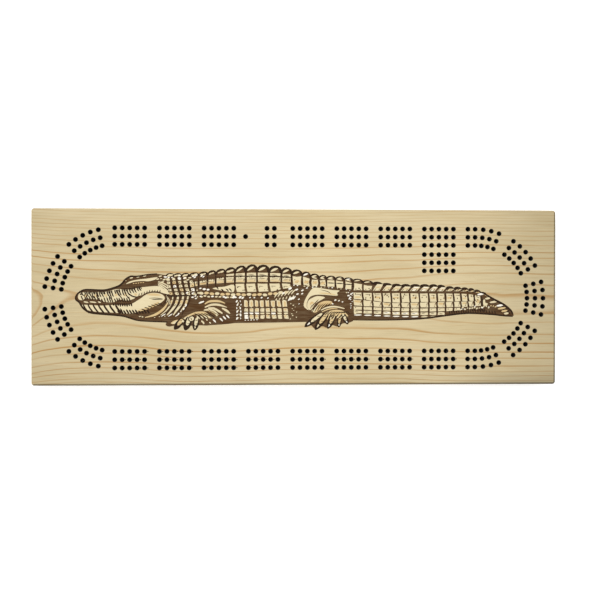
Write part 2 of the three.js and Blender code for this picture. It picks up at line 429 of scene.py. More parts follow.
# The plank's tone along its length and across its width: it is a little darker towards its edges, partly the
# wood's own tone and partly painted shade where the light falls off.
TONE_AND_SHADE_ALONG = [(-208, 0.84), (-165, 0.89), (-106, 0.915), (-42, 0.95), (0, 1), (25, 1.01), (60, 0.97),
              (120, 0.95), (145, 0.92), (170, 0.85), (190, 0.8), (208, 0.76)]
TONE_AND_SHADE_ACROSS = [(-70, 0.88), (-66, 0.92), (-58, 0.95), (-47, 0.98), (-10, 1.01), (20, 1.01), (50, 1),
               (70, 0.98)]

# Colours of the wood, as 0 to 255 screen levels.
EARLYWOOD = (192, 176, 139)
DEEPER_EARLYWOOD = (184, 167, 128)
LATEWOOD = (163, 122, 66)
FINE_THREAD = (165, 132, 82)
RESIN_DASH = (156, 118, 73)


def edge_darkening_and_painted_shade(tree):
    """A level for the edges: a little darker all round, and painted shade on the rounded edges of the front
    and the right, away from the light at the upper left.
    """
    source = tree.nodes.new("ShaderNodeTexCoord")
    parts = node_with(tree, "ShaderNodeSeparateXYZ", {"Vector": source.outputs["Normal"]})
    right, back, up = [Value(tree, socket) for socket in parts.outputs]
    # painted shade: the rounded edges that face +X and -Y are darkened as if turned away from the light
    wear_and_painted_shade = (right - back).ramp(0.05, 0.45) * up.ramp(0.02, 0.2)
    return up.math("ABSOLUTE").ramp(0.3, 0.98, 0.87, 1) * (wear_and_painted_shade * -0.62 + 1)


def latewood(tree, x, y, z):
    """How far a point lies in one of the dark growth rings, from 0 to 1."""
    across = y - PITH_Y
    above = across.ramp(-6, 6)
    reach = across.math("ABSOLUTE")
    below_reach = reach * FAR_SIDE[0] + reach * reach * FAR_SIDE[1]
    side = across.math("GREATER_THAN", 0.0)
    reach = below_reach + (reach - below_reach) * side
    depth_above = x.along(DEPTH_ABOVE)
    depth_below = x.along(DEPTH_BELOW)
    pith_depth = depth_below + (depth_above - depth_below) * above
    drop = pith_depth + z - TOP
    wander = (noise(tree, x * 0.02, y * 0.06, z * 0.06) - 0.5) * 1.6
    radius = (reach * reach + drop * drop) ** 0.5 + wander
    ring = radius.along([(r, k) for k, r in enumerate(RING_RADII)], straight=True)
    nearest = (ring + 0.5).math("FLOOR")
    phase = ring - nearest
    late = phase.ramp(-0.2, -0.03) * phase.ramp(-0.01, 0.07, 1, 0)
    dark_above = nearest.along(list(enumerate(DARK_ABOVE)), straight=True)
    dark_below = nearest.along(list(enumerate(DARK_BELOW)), straight=True)
    fading = noise(tree, x * 0.014, nearest * 3.7 + side * 11, z * 0.02).ramp(0.3, 0.65, 0.45, 1.0)
    return late * (dark_below + (dark_above - dark_below) * side) * fading


def pine_grain_and_shade():
    """A node group that gives the pine's colour, with painted shade at its edges and lower right corner, and
    its fine relief at each point of the wood.
    """
    tree = bpy.data.node_groups.new("pine_grain_and_shade", "ShaderNodeTree")
    tree.interface.new_socket("Colour", in_out="OUTPUT", socket_type="NodeSocketColor")
    tree.interface.new_socket("Relief", in_out="OUTPUT", socket_type="NodeSocketFloat")
    x, y, z = position(tree)
    late = latewood(tree, x, y, z)
    fibre = noise(tree, x * 0.05, y * 1.7, z * 1.7, detail=3) - 0.5
    cloud = noise(tree, x * 0.012, y * 0.05, z * 0.05) - 0.5
    dashes = noise(tree, x * 0.16, y * 2.6, z * 2.6, detail=1).ramp(0.7, 0.78)
    threads = noise(tree, x * 0.035, y * 1.1, z * 1.1, detail=2, roughness=0.7).ramp(0.56, 0.72)
    early = blend(tree, cloud.ramp(-0.2, 0.2), linear(*EARLYWOOD), linear(*DEEPER_EARLYWOOD))
    colour = blend(tree, late, early, linear(*LATEWOOD))
    colour = blend(tree, threads * 0.3, colour, linear(*FINE_THREAD))
    colour = blend(tree, dashes * 0.35, colour, linear(*RESIN_DASH))
    # painted shade: the face darkens towards its lower right corner
    corner = x.ramp(110, 180) * y.ramp(-69, -56, 1, 0)
    # the wood's tone, multiplied by painted shade towards the edges and the lower right corner
    tone_and_shade = x.along(TONE_AND_SHADE_ALONG) * y.along(TONE_AND_SHADE_ACROSS) * (corner * -0.22 + 1) * edge_darkening_and_painted_shade(tree)
    colour = shaded(tree, colour, (fibre * 0.32 + 1) * tone_and_shade)
    out = tree.nodes.new("NodeGroupOutput")
    tree.links.new(colour, out.inputs["Colour"])
    tree.links.new((fibre + late * 0.6).socket, out.inputs["Relief"])
    return tree


def wood_skin(name, grain, tint=None, share=0.0, streaks=0.0, roughness=0.55, relief=0.03):
    """The pine, or the pine burned, toasted or bleached towards a tint."""
    made, tree, shader = material(name, roughness)
    shader.inputs["Specular IOR Level"].default_value = 0.2
    wood = tree.nodes.new("ShaderNodeGroup")
    wood.node_tree = grain
    colour = wood.outputs["Colour"]
    if tint:
        x, y, z = position(tree)
        streak = noise(tree, x * 0.12, y * 1.9, z * 1.9, detail=3).ramp(0.3, 0.75, share, share - streaks)
        colour = blend(tree, streak, colour, linear(*tint))
    tree.links.new(colour, shader.inputs["Base Color"])
    bump(tree, shader, wood.outputs["Relief"], relief)
    return made


def charred_hole():
    """The near-black wall that a laser or a hot drill leaves."""
    made, tree, shader = material("charred_hole", 0.9)
    x, y, z = position(tree)
    soot = noise(tree, x * 0.9, y * 0.9, z * 0.5, detail=3)
    tree.links.new(blend(tree, soot, linear(4, 3, 3), linear(16, 12, 9)), shader.inputs["Base Color"])
    bump(tree, shader, soot, 0.1)
    return made


def brushed(name, colour, wear_and_painted_shade, roughness):
    """Rolled metal, brushed along X, with faint clouds where it has been handled."""
    made, tree, shader = material(name, roughness, 1.0)
    x, y, z = position(tree)
    lines = noise(tree, x * 0.08, y * 9, z * 9, detail=2)
    cloud = noise(tree, x * 0.12, y * 0.12, z * 0.12, detail=3).ramp(0.35, 0.7)
    tree.links.new(blend(tree, cloud * 0.35, linear(*colour), linear(*wear_and_painted_shade)), shader.inputs["Base Color"])
    tree.links.new((lines * 0.3 + cloud * 0.08 + (roughness - 0.18)).socket, shader.inputs["Roughness"])
    bump(tree, shader, lines, 0.03, 0.6)
    return made


def rubber():
    """Moulded black rubber with a fine grain and a little dust."""
    made, tree, shader = material("rubber", 0.8)
    x, y, z = position(tree)
    grain = noise(tree, x, y, z, scale=3.5, detail=4)
    dust = noise(tree, x, y, z, scale=0.35, detail=3).ramp(0.45, 0.75)
    tree.links.new(blend(tree, dust, linear(24, 24, 25), linear(46, 45, 43)), shader.inputs["Base Color"])
    bump(tree, shader, grain, 0.08)
    return made


def painted(name, colour, deep):
    """A dipped, glossy paint on a turned peg: slightly deeper where it pooled, with a soft ripple."""
    made, tree, shader = material(name, 0.28)
    shader.inputs["Coat Weight"].default_value = 0.4
    shader.inputs["Coat Roughness"].default_value = 0.12
    x, y, z = position(tree)
    pool = noise(tree, x * 0.3, y * 0.5, z * 0.5, detail=2)
    ripple = noise(tree, x, y, z, scale=0.9, detail=1)
    tree.links.new(blend(tree, pool, linear(*colour), linear(*deep)), shader.inputs["Base Color"])
    bump(tree, shader, ripple, 0.06)
    return made


# ------------------------------------------------------------------------------------------
# The burned drawing: a crocodile along the middle of the face, in millimetres on that face.
# Every shape is (skin, outline), and a later shape lies over an earlier one.

BACK_LINE = [(-110, 19), (-102, 18), (-87, 18), (-72, 19), (-56, 21), (-38, 23), (-30, 23), (-11, 21.5),
             (5, 19), (19, 16.5), (39, 15), (64, 11.5), (80, 9.8), (100, 9.5), (114, 9.3), (121, 8),
             (135, 7), (146, 5), (158, -1.4), (169, -7.4), (174, -12)]
HEAD_LINE = [(-174, 0.5), (-172.5, 3), (-170, 5), (-165.5, 6.5), (-152.5, 6), (-145.5, 7.5), (-140, 9.5),
             (-137, 12), (-135, 14.5), (-131, 17), (-126, 17), (-117, 18.5), (-110, 19)]
THROAT_LINE = [(-174, 0.5), (-173.5, -1.5), (-171, -3.5), (-169.5, -6), (-167, -9), (-162.5, -11.5),
               (-155, -12.5), (-138, -14), (-131, -16), (-123, -18), (-102, -19)]
BELLY_LINE = [(-102, -19), (-76, -20), (-21, -19.5), (35, -18.5), (45, -17.5), (71, -17.5), (99, -16.5),
              (119, -14), (138, -12), (157, -13), (166, -14), (174, -14.5)]

# How much wider a charred line burns than its stroke.
CHAR_SPREAD = 1.15


def on_curve(p, q, r, s, t):
    """One coordinate of a smooth curve through four points, a share t of the way from q to r."""
    straight = 2 * q + (r - p) * t
    bend = (2 * p - 5 * q + 4 * r - s) * t ** 2
    swing = (3 * q - p - 3 * r + s) * t ** 3
    return 0.5 * (straight + bend + swing)


def spline(points, closed=False, steps=4):
    """Points along a smooth curve that passes through the given ones."""
    count = len(points)
    curve = []
    for i in range(count if closed else count - 1):
        near = [i - 1, i, i + 1, i + 2]
        if closed:
            a, b, c, d = (points[k % count] for k in near)
        else:
            a, b, c, d = (points[min(max(k, 0), count - 1)] for k in near)
        for k in range(steps):
            curve.append(tuple(on_curve(*axis, k / steps) for axis in zip(a, b, c, d)))
    return curve if closed else curve + [points[-1]]


def height_along(points):
    """A function that gives y at any x on the smooth curve through the points."""
    curve = spline(points)

    def height(x):
        for (x0, y0), (x1, y1) in pairs(curve):
            if x <= x1:
                return y0 + (y1 - y0) * max(0, (x - x0) / (x1 - x0))
        return curve[-1][1]

    return height


def uneven(seed, index=0):
    """A repeatable number from -1 to 1, which keeps the drawing from looking ruled."""
    return 2 * ((math.sin(seed * 12.9898 + index * 78.233) * 43758.5453) % 1) - 1


class Drawing:
    """The shapes of the drawing, from the lowest layer to the highest."""

    def __init__(self):
        self.shapes = []

    def outline(self, skin, points):
        self.shapes.append((skin, list(points)))

    def blob(self, skin, points):
        self.outline(skin, spline(points, closed=True, steps=3))

    def oval(self, skin, x, y, half_length, half_width, turn=0, sides=8):
        c, s = math.cos(math.radians(turn)), math.sin(math.radians(turn))
        ring = [(half_length * math.cos(t), half_width * math.sin(t))
                for t in (math.tau * k / sides for k in range(sides))]
        self.outline(skin, [(x + u * c - v * s, y + u * s + v * c) for u, v in ring])

    def stroke(self, skin, points, width, first=0.3, last=0.3):
        """A brush line; first and last are the shares of its width that its ends keep."""
        line = spline(points, steps=3)
        if skin == CHAR:
            width *= CHAR_SPREAD
        left, right = [], []
        for i, (x, y) in enumerate(line):
            before, after = line[max(i - 1, 0)], line[min(i + 1, len(line) - 1)]
            dx, dy = after[0] - before[0], after[1] - before[1]
            t = i / (len(line) - 1)
            share = min(1, first + (1 - first) * 3 * t, last + (1 - last) * 3 * (1 - t))
            reach = share * width / 2 / math.hypot(dx, dy)
            left.append((x - dy * reach, y + dx * reach))
            right.append((x + dy * reach, y - dx * reach))
        self.outline(skin, left + right[::-1])

    def net(self, place, columns, rows, skin, gap=0.14, skip=()):
        """Uneven scales in the meshes of a bent net. place(u, v) gives the point at column u and row v."""
        for i in range(columns):
            for j in range(rows):
                if (i, j) in skip:
                    continue
                ring = []
                corners = ((gap, gap), (0.5, gap * 0.7), (1 - gap, gap), (1 - gap, 1 - gap),
                           (0.5, 1 - gap * 0.7), (gap, 1 - gap))
                for k, (u, v) in enumerate(corners):
                    jitter = 0.07 * uneven(i * 5 + j, k), 0.07 * uneven(i * 5 + j, k + 7)
                    ring.append(place(i + u + jitter[0], j + v + jitter[1]))
                self.outline(skin(i, j), ring)

    def flecks(self, skin, spots, size=0.9, slim=0.6, turn=20):
        """A small uneven mark at each (x, y)."""
        for i, (x, y) in enumerate(spots):
            scale = 1 + 0.3 * uneven(x, i)
            self.oval(skin, x, y, size * scale, size * slim * scale, turn + 25 * uneven(y, i), sides=6)

    def cell(self, skin, x0, x1, top, bottom, seed, gap=0.55, lean=0.0, wobble=0.2):
        """One scale between two dividers and two rows, with slightly uneven corners."""
        a, c = x0 + gap, x1 - gap
        b = (a + c) / 2
        corners = [(a - lean, top(a)), (b - lean, top(b)), (c - lean, top(c)),
                   (c, (top(c) + bottom(c)) / 2), (c + lean, bottom(c)), (b + lean, bottom(b)),
                   (a + lean, bottom(a)), (a, (top(a) + bottom(a)) / 2)]
        self.outline(skin, [(x + wobble * uneven(seed, k), y + wobble * uneven(seed, k + 9))
                            for k, (x, y) in enumerate(corners)])


def shifted(height, by):
    """The same line, moved up or down."""
    return lambda x: height(x) + by


back_height = height_along(BACK_LINE)
tail_ridge = height_along([(39, 5.5), (64, 5), (107, 4.6), (125, 4.7), (139, 4), (149, 2.4)])
# The dividers between the plates along the trunk and hip, and along the tail.
PLATE_EDGES = [-103, -97, -91, -85, -77.5, -70.5, -64, -56.5, -48.8, -40.2, -31.3, -21.8, -12, -3.7, 4.6,
               11.2, 18, 24, 31, 38, 45]
TAIL_EDGES = [45, 53, 61, 68.6, 76, 83.4, 90.8, 98.5, 106, 112.7, 119.5, 126, 132, 137.7, 142.8, 148.5]


def draw_body(d):
    """The dark silhouette of head, trunk and tail."""
    d.blob(BURN, HEAD_LINE[:-1] + BACK_LINE + BELLY_LINE[::-1] + THROAT_LINE[-2:0:-1])


def draw_back_scutes(d):
    """The row of raised scutes that makes the back's outline."""
    for i, (x0, x1) in enumerate(pairs(PLATE_EDGES + TAIL_EDGES[1:])):
        span = x1 - x0
        rise = 1.3 + 1.5 * math.exp(-((x0 + 30) / 38) ** 2)

        def at(t, lift):
            return (x0 + t * span, back_height(x0 + t * span) + lift * rise)

        d.outline(CHAR, [at(-0.08, -0.9), at(0.02, 0.4), at(0.2, 1), at(0.48, 1.35), at(0.78, 1.25),
                         at(1, 0.7), at(1.08, -0.9)])
        if x0 < -56:
            d.outline(BURN, [at(0.1, -0.9), at(0.16, 0), at(0.45, 0.65), at(0.78, 0.6), at(0.9, -0.9)])
            d.flecks(PALE, [at(0.36, -0.1), at(0.66, 0.1)], 1.5, 0.45, 14)
        elif x0 < 60:
            d.outline(BURN, [at(0.14, -1), at(0.2, -0.2), at(0.5, 0.66), at(0.76, 0.6), at(0.88, -1)])
            skin = WHITE if i in (7, 14, 19) else PALE
            d.blob(skin, [at(0.13, -0.5), at(0.27, 0.16), at(0.5, 0.62), at(0.72, 0.6), at(0.56, 0.06),
                          at(0.33, -0.36)])


def draw_trunk_plates(d):
    """Three rows of plates over the ribs, with their cracks and seams."""
    high = height_along([(-85, 16), (-70, 17), (-56, 19), (-40, 20.2), (-21, 20.3), (-3, 18.9)])
    middle = height_along([(-85, 12.8), (-70, 14.8), (-56, 17), (-40, 17.2), (-21, 17.4), (-3, 16.3)])
    low = height_along([(-85, 7.5), (-77, 9.4), (-64, 10.9), (-48, 11.7), (-21, 12.2), (-3, 12)])
    under = height_along([(-56, 7), (-49, 4.6), (-38, 4.4), (-21, 4.8), (-14, 6.2), (-3, 8.4)])
    for i, (x0, x1) in enumerate(pairs([x for x in PLATE_EDGES if -86 < x < -3])):
        centre = (x0 + x1) / 2
        if x0 > -60:
            d.cell(PALE, x0, x1, shifted(high, -0.35), shifted(middle, 0.5), i, gap=0.88)
        d.cell(PALE, x0, x1, shifted(middle, -0.5), shifted(low, 0.7), i + 20, gap=0.92)
        if x0 > -50:
            d.cell(PALE, x0, x1, shifted(low, -0.7), shifted(under, 0.5), i + 40, gap=1, lean=0.5)
        d.stroke(TOASTED, [(x0 + 1.2, low(x0) + 1.7), (centre, low(centre) + 1.5),
                           (x1 - 1.2, low(x1) + 1.4)], 1.3, 0.8, 0.8)
        d.stroke(CHAR, [(x1, high(x1)), (x1 + 0.1, middle(x1)), (x1 - 0.1, low(x1)), (x1, low(x1) - 2)],
                 0.7, 0.8, 0.8)
        crack = centre + uneven(i)
        d.flecks(CHAR, [(x0 + 1.6 + 1.5 * k, middle(centre) - 0.6 - 0.3 * (k % 2)) for k in range(3)], 0.6,
                 0.5)
        d.stroke(BURN, [(x1 - 1.3, low(x1) + 3.8), (x1 - 1.7, low(x1) + 1.6)], 0.5, 0.3, 0.8)
        d.stroke(BURN, [(crack - 3, middle(centre) - 2.3), (crack + 2.6, middle(centre) - 1.9)], 0.45)
        d.stroke(TOASTED, [(crack - 1, low(centre) + 2.7), (crack + 3, low(centre) + 2.8)], 0.4)
        if x0 > -56:
            d.stroke(CHAR, [(x0 + 0.4, middle(x0) - 0.1), (centre, middle(centre) + 0.3),
                            (x1 - 0.2, middle(x1))], 0.7, 0.9, 0.4)
            start, stop = (high(x0) + middle(x0)) / 2, (high(x1) + middle(x1)) / 2 - 0.2
            d.stroke(BURN, [(crack - 3, start), (crack + 2, stop)], 0.4)
            d.stroke(BURN, [(x0 + 1.4, low(centre) - 2.6), (crack + 1, low(centre) - 2.9)], 0.4)
            d.flecks(BURN, [(crack - 2, low(centre) - 3.4), (crack + 2, low(centre) - 5.6),
                            (x1 - 1.2, under(x1) + 1.9)], 0.6)


def draw_flank_beads(d):
    """The fold above the arm, the beads where the plates meet the flank, and the glints round them."""
    d.blob(PALE, [(-66.5, 7.6), (-62, 8.6), (-57, 9), (-49.8, 10.6), (-49.6, 5.2), (-53, 4.8), (-57, 5.6),
                  (-62, 6.4)])
    for x, y in ((-62.6, 8.2), (-58.4, 6.2), (-54.6, 6.4), (-52.2, 6.6)):
        d.stroke(CHAR, [(x - 1.6, y + 0.9), (x, y), (x + 0.7, y - 1.6)], 0.8)
    for i in range(17):
        x = -75.4 + 4.2 * i
        y = 4 - 1.3 * math.sin(min(i, 8) * 0.19) + max(0, i - 12) * 0.5 + (0.2 if i % 2 else -0.2)
        d.oval(TOASTED if i % 3 else PALE, x, y, 1.9, 1.15, 8 * uneven(i))
        d.stroke(CHAR, [(x + 1.1, y - 1), (x + 1.9, y - 1.6), (x + 3, y - 0.8)], 0.5)
    for i in range(10):
        d.oval(PALE if i % 3 else WHITE, -75.5 + 3 * i, 1.5 - 0.1 * i + 0.3 * uneven(i), 1.2, 0.65,
               12 * uneven(i, 3))
    d.flecks(WHITE, [(-73, 7), (-70, 6.6), (-76, 7.6), (-56, 0.3), (-50, 0.4), (-49.6, 1.3), (-44.6, 0.6),
                     (-42.6, 0.2), (-36.8, 0.4), (-33.4, 0.3), (-27.6, 0.3), (-22.6, 0)], 1.1)
    d.flecks(PALE, [(-84, 5), (-81.6, 6.4), (-79, 6), (-82.2, 3.4), (-79.6, 2.9), (-77.6, 4), (-84.6, 2.2),
                    (-78.4, 0.8), (-75, 0.9)], 0.9)


def draw_hip_plates(d):
    """The smaller plates between the trunk and the tail."""
    top = height_along([(-3.7, 17.2), (5, 16.8), (11, 15), (19, 14.3), (31, 13.8), (39, 13.2), (46, 12)])
    bottom = height_along([(-3.7, 11.2), (5, 10.3), (11, 9.6), (19, 9.4), (32, 8.6), (46, 6.4)])
    for i, (x0, x1) in enumerate(pairs([x for x in PLATE_EDGES if x > -4])):
        d.cell(PALE, x0, x1, top, bottom, i + 60, gap=1, wobble=0.45)
        d.stroke(CHAR, [(x1, top(x1) + 1), (x1 + 0.2, bottom(x1))], 0.8, 0.8, 0.8)
        if i < 4:
            d.oval(TOASTED, (x0 + x1) / 2, 13.2 - 0.5 * i, 2, 1.2, 20)
            d.flecks(BURN, [(x0 + 2.4, 14.6 - 0.6 * i), (x0 + 4.4, 12.2 - 0.5 * i)], 0.5, 0.5)
        else:
            y = 0.6 * top(x0) + 0.4 * bottom(x0)
            d.stroke(CHAR, [(x0 + 0.8, y), (x1 - 0.8, y - 0.3)], 0.7, 0.5, 0.5)
        d.flecks(PALE if i % 2 else WHITE, [(x0 + 1.8, bottom(x0) - 0.9), (x0 + 4.6, bottom(x1) - 0.4)], 0.6)
        if x0 > 10:
            d.stroke(PALE, [(x0 + 1.4, top(x0) + 1.4), (x1 - 1.8, top(x1) + 1.3)], 0.9, 0.5, 0.5)


def draw_belly(d):
    """The block of small square scales on the belly."""
    rows = [-1, -7.7, -11.3, -13, -16.8]

    def place(u, v):
        row = min(int(v), 3)
        y = rows[row] + (rows[row + 1] - rows[row]) * (v - row)
        return (-41.8 + 4.1 * u + 0.055 * u * u - 0.017 * u * (y + 16), y)

    d.net(place, 8, 4, lambda i, j: WHITE if j == 2 and i in (0, 1, 2, 5) or (i, j) == (0, 3) else PALE,
          gap=0.15)
    for i in range(8):
        x, y = place(i + 0.55, 0.5)
        d.stroke(TOASTED, [(x, y + 1.6), (x + 0.1, y - 2.4)], 1.7, 0.4, 0.9)
        d.flecks(BURN, [place(i + 0.4, 1.5), place(i + 0.7, 3.5)], 0.45, 0.5)
        if i % 3:
            d.oval(TOASTED, *place(i + 0.5, 1.4), 1.1, 0.8)
            d.oval(TOASTED, *place(i + 0.4, 3.3), 0.9, 1.1)


def draw_belly_glints(d):
    """The glints under the belly scales and on the flanks at both their sides."""
    d.flecks(WHITE, [(-40.5 + 2.3 * i, -17.6 + 0.1 * i) for i in range(5)], 0.8, 0.5, 0)
    d.flecks(WHITE, [(x + 0.3 * uneven(i), -2.6 - 2.7 * i) for i in range(6) for x in (-47, -44.2)], 1,
             0.55, 75)
    d.flecks(PALE, [(-45.6 + 0.5 * uneven(i), -4 - 2.9 * i) for i in range(5)], 0.6, 0.6, 70)
    for i in range(6):
        x = -17.5 + 2.7 * i
        d.stroke(PALE, [(x, 0.4 + 0.5 * i), (x + 1.5, 2.6 + 0.5 * i), (x + 3.8, 4.4 + 0.5 * i)], 0.9, 0.4,
                 0.6)
        d.stroke(PALE, [(x + 1, -2 + 0.4 * i), (x + 2, -0.3 + 0.5 * i)], 0.8, 0.4, 0.6)
    for i in range(4):
        d.stroke(WHITE, [(-6.8 + 1.3 * i, -2.4 + 0.4 * i), (-4.6 + 1.3 * i, 0.6 + 0.3 * i)], 0.85, 0.3, 0.7)
    for x, y, size in ((-5, 7.6, 2), (0.2, 6.7, 1.6), (4.8, 6.1, 1.5), (4.6, 3.5, 1.2), (0.9, 3.2, 1.4),
                       (-10.2, 3.9, 1.5), (2, -0.9, 1.1), (8.4, 8, 1.1), (2.1, -4.6, 0.7)):
        d.oval(WHITE, x, y, 0.8 * size, 0.42 * size, 25)
    d.flecks(PALE, [(-4 + 0.9 * uneven(i, 3) + 1.7 * (i % 3), -4.4 - 1.35 * i) for i in range(10)], 0.55, 0.7)


def draw_tail_plates(d):
    """Four rows of plates, down to where the tail narrows."""
    lines = [
        height_along([(39, -0.6), (60, -1.9), (76, -3.7), (115, -3), (149, -2.2)]),
        height_along([(39, -6), (60, -6.9), (91, -7.8), (123, -7.6), (149, -6.4)]),
        height_along([(39, -9.4), (60, -9.9), (91, -11), (123, -10.6), (149, -8.6)]),
    ]
    for i, (x0, x1) in enumerate(pairs(TAIL_EDGES)):
        d.cell(PALE, x0, x1, shifted(tail_ridge, -1), shifted(lines[0], 0.25), i + 80, gap=0.75, lean=0.3)
        d.cell(PALE, x0, x1, shifted(lines[0], -0.25), shifted(lines[1], 0.35), i + 100, gap=0.75, lean=0.3)
        if x0 < 131:
            d.cell(PALE, x0, x1, shifted(lines[1], -0.35), shifted(lines[2], 0.4), i + 120, gap=0.75,
                   wobble=0.15)
        if x0 < 119:
            d.cell(PALE, x0, x1, shifted(lines[2], -0.4), shifted(lines[2], -2.5), i + 140, gap=0.8,
                   wobble=0.25)
            if 2 < i < 7:
                d.stroke(WHITE, [(x0 + 1.4, lines[2](x0) - 1.6), (x1 - 1.6, lines[2](x1) - 1)], 1.1, 0.4, 0.6)
            d.stroke(WHITE if i < 7 else PALE, [(x0 + 1.1, lines[2](x0) - 4), (x1 - 1, lines[2](x1) - 3.7)],
                     0.9, 0.3, 0.5)
            d.stroke(BURN, [(x0 + 1.6, lines[2](x0) - 1.2), (x0 + 4.6, lines[2](x0) - 1.5)], 0.4)
        d.stroke(CHAR, [(x1, tail_ridge(x1) - 0.4), (x1 + 0.3, lines[0](x1)), (x1, lines[2](x1) - 1)], 0.6,
                 0.8, 0.8)
        if i % 3 == 0:
            d.stroke(TOASTED, [(x0 + 1.2, lines[0](x0) - 1.4), (x1 - 1.2, lines[0](x1) - 1.6)], 1.6, 0.7, 0.7)
        if i % 2 == 0:
            d.stroke(TOASTED, [(x0 + 1.4, tail_ridge(x0) - 4.6), (x1 - 1.4, tail_ridge(x1) - 4.4)], 1.3,
                     0.6, 0.6)
        for k in range(4 if 0 < i < 7 else 2):
            x = (x0 + x1) / 2 + 2.2 * uneven(i, k + 5)
            d.oval(BURN, x, tail_ridge(x0) - 3.9 + 2.2 * uneven(i, k + 9), 0.4, 0.65, 0)
        d.stroke(BURN, [(x0 + 1.8, tail_ridge(x0) - 2.4), (x1 - 1.6, tail_ridge(x1) - 2.3)], 0.4)
        d.stroke(BURN, [(x1 - 1.2, lines[0](x1) - 0.7), (x1 - 1.7, lines[0](x1) - 2.8)], 0.5, 0.8, 0.2)
        d.flecks(BURN, [(x0 + 2.2, lines[1](x0) - 1.1), (x1 - 2, lines[1](x1) + 1.3)], 0.5)


def draw_tail_crest(d):
    """The slanted scales along the top of the tail."""
    for i, (x0, x1) in enumerate(pairs(TAIL_EDGES)):
        low = tail_ridge(x0) + 0.9
        high = back_height(x0 + 3) - 0.3
        middle = (low + high) / 2
        if x0 < 60:
            d.cell(PALE, x0, x1, shifted(back_height, -2.4), lambda x: low, i + 160, gap=0.8, wobble=0.4)
            d.flecks(BURN, [(x0 + 2.4, low + 0.9), (x0 + 5, low + 1.6), (x0 + 6, low + 0.7)], 0.6)
            continue
        d.outline(PALE, [(x0 + 0.1, low), (x0 + 1.7, middle + 0.2), (x0 + 3.6, high), (x1 + 0.7, high - 0.2),
                         (x1 - 0.6, middle), (x1 - 2.2, low)])
        if 5 < i < 10:
            d.blob(WHITE, [(x0 + 1.2, low + 0.5), (x0 + 3.8, high - 0.6), (x1 - 0.6, high - 0.9),
                           (x1 - 3.4, low + 0.8)])
        d.stroke(TOASTED, [(x0 + 1.8, middle - 0.2), (x1 - 0.6, middle + 0.4)], 0.9)
        d.stroke(BURN, [(x0 + 0.9, low), (x0 + 2.6, low + 1.7)], 0.5)
        d.flecks(BURN, [(x1 - 2.8, low + 0.5), (x1 - 2.2, low + 1.2)], 0.5)
    d.flecks(WHITE, [(42.6 + 1.2 * uneven(i), 4.4 - 1.2 * i) for i in range(5)], 0.8, 0.6)
    d.flecks(WHITE, [(44 + 0.8 * uneven(i, 6), 4 - 1.7 * i) for i in range(8)], 0.6, 0.6)
    d.flecks(PALE, [(31.6, -1.6), (34, -2), (36.8, -3), (40, 4.4), (47, -12.4), (46.6, -9.8)], 0.8)


def draw_tail_tip(d):
    """Broad pale scales that climb over the edge as the tail narrows."""
    scales = [(148, 3.2, 3, WHITE), (153.6, -0.2, 2.2, PALE), (158.4, -3, 3.4, PALE), (163.6, -5.8, 3, WHITE),
              (165, -8.1, 3.5, TOASTED), (167.2, -10.2, 2.6, TOASTED), (168.8, -12.2, 2, PALE)]
    for i, (x, y, reach, skin) in enumerate(scales):
        d.stroke(CHAR, [(x - reach, y - 1.2), (x + 0.6, y + 1.5), (x + reach + 1.3, y + 0.6 - 0.2 * i)],
                 0.7, 0.4, 0.9)
        d.oval(skin, x, y, reach, 0.85, 9)
    d.blob(PALE, [(150, -1.6), (151.4, -1.2), (151.8, -3.6), (153.6, -4.2), (152.8, -6), (150.2, -5.4)])
    d.stroke(CHAR, [(148.9, 0.6), (149.4, -3), (149, -6.4)], 0.8, 0.8, 0.8)
    d.oval(TOASTED, 145.8, -3, 1.4, 0.9)
    d.flecks(CHAR, [(144.6, -2.6), (147, -3.6)], 0.5)
    for i in range(16):
        x = 131.6 + 1.9 * i
        d.flecks(TOASTED if i > 12 else PALE, [(x, -8.4 + 0.11 * i + 0.9 * uneven(i))], 0.75, 0.7, 40)
        d.stroke(CHAR, [(x - 9, -10.2 + 0.12 * i), (x - 8.6, -12.6 + 0.1 * i)], 0.75, 0.8, 0.4)
    for i in range(9):
        d.stroke(CHAR, [(141 + 2.3 * i, -8.6 - 0.2 * i), (141.5 + 2.3 * i, -10.6 - 0.25 * i)], 0.75, 0.8, 0.4)
    d.flecks(WHITE, [(132.6, -8.8), (134.8, -8.6), (143.4, -6.4), (154.6, -6.8), (149.4, -7.6)], 0.7)
    d.stroke(CHAR, [(146, 5.6), (152, 3), (158, -0.6), (163.6, -3.4), (168, -6), (172.6, -10), (174, -13)],
             1.4, 0.5, 0.8)


def draw_neck(d):
    """A bent net of scales on the neck, and pale scraps above it."""

    def place(u, v):
        return (-101.6 + 4.5 * u - 0.55 * v + 0.09 * (v - 3) ** 2, 2.1 + 2.75 * v + 0.1 * u * v - 0.08 * u)

    def skin(i, j):
        return TOASTED if (2 * i + j) % 5 == 0 else WHITE if (i + 3 * j) % 7 == 0 else PALE

    for u in range(1, 6):
        d.stroke(CHAR, [place(u, v) for v in range(6 - u // 5)], 0.8, 0.6, 0.6)
    d.net(place, 5, 5, skin, gap=0.23, skip=((4, 4),))
    for i in range(5):
        for j in range(4):
            x, y = place(i + 0.5, j + 0.5)
            d.oval(BURN, x + 0.5 * uneven(i, j), y, 0.5, 0.35, 40)
    d.flecks(WHITE, [(-103.6, 16.6), (-101, 16.2), (-98.4, 16.2), (-81.6, 17.2), (-79.4, 18), (-75, 17.6),
                     (-73.6, 16.9), (-80.4, 16.4), (-92.6, 17.6), (-88.4, 15.8)], 1.2, 0.42, 18)
    d.flecks(PALE, [(-109.6, 14.9), (-107, 15.2), (-104.4, 14.6), (-107.6, 17.2), (-95.4, 17.6),
                    (-86, 14.4), (-84.4, 16), (-106, 12.6)], 1.2, 0.4, 14)


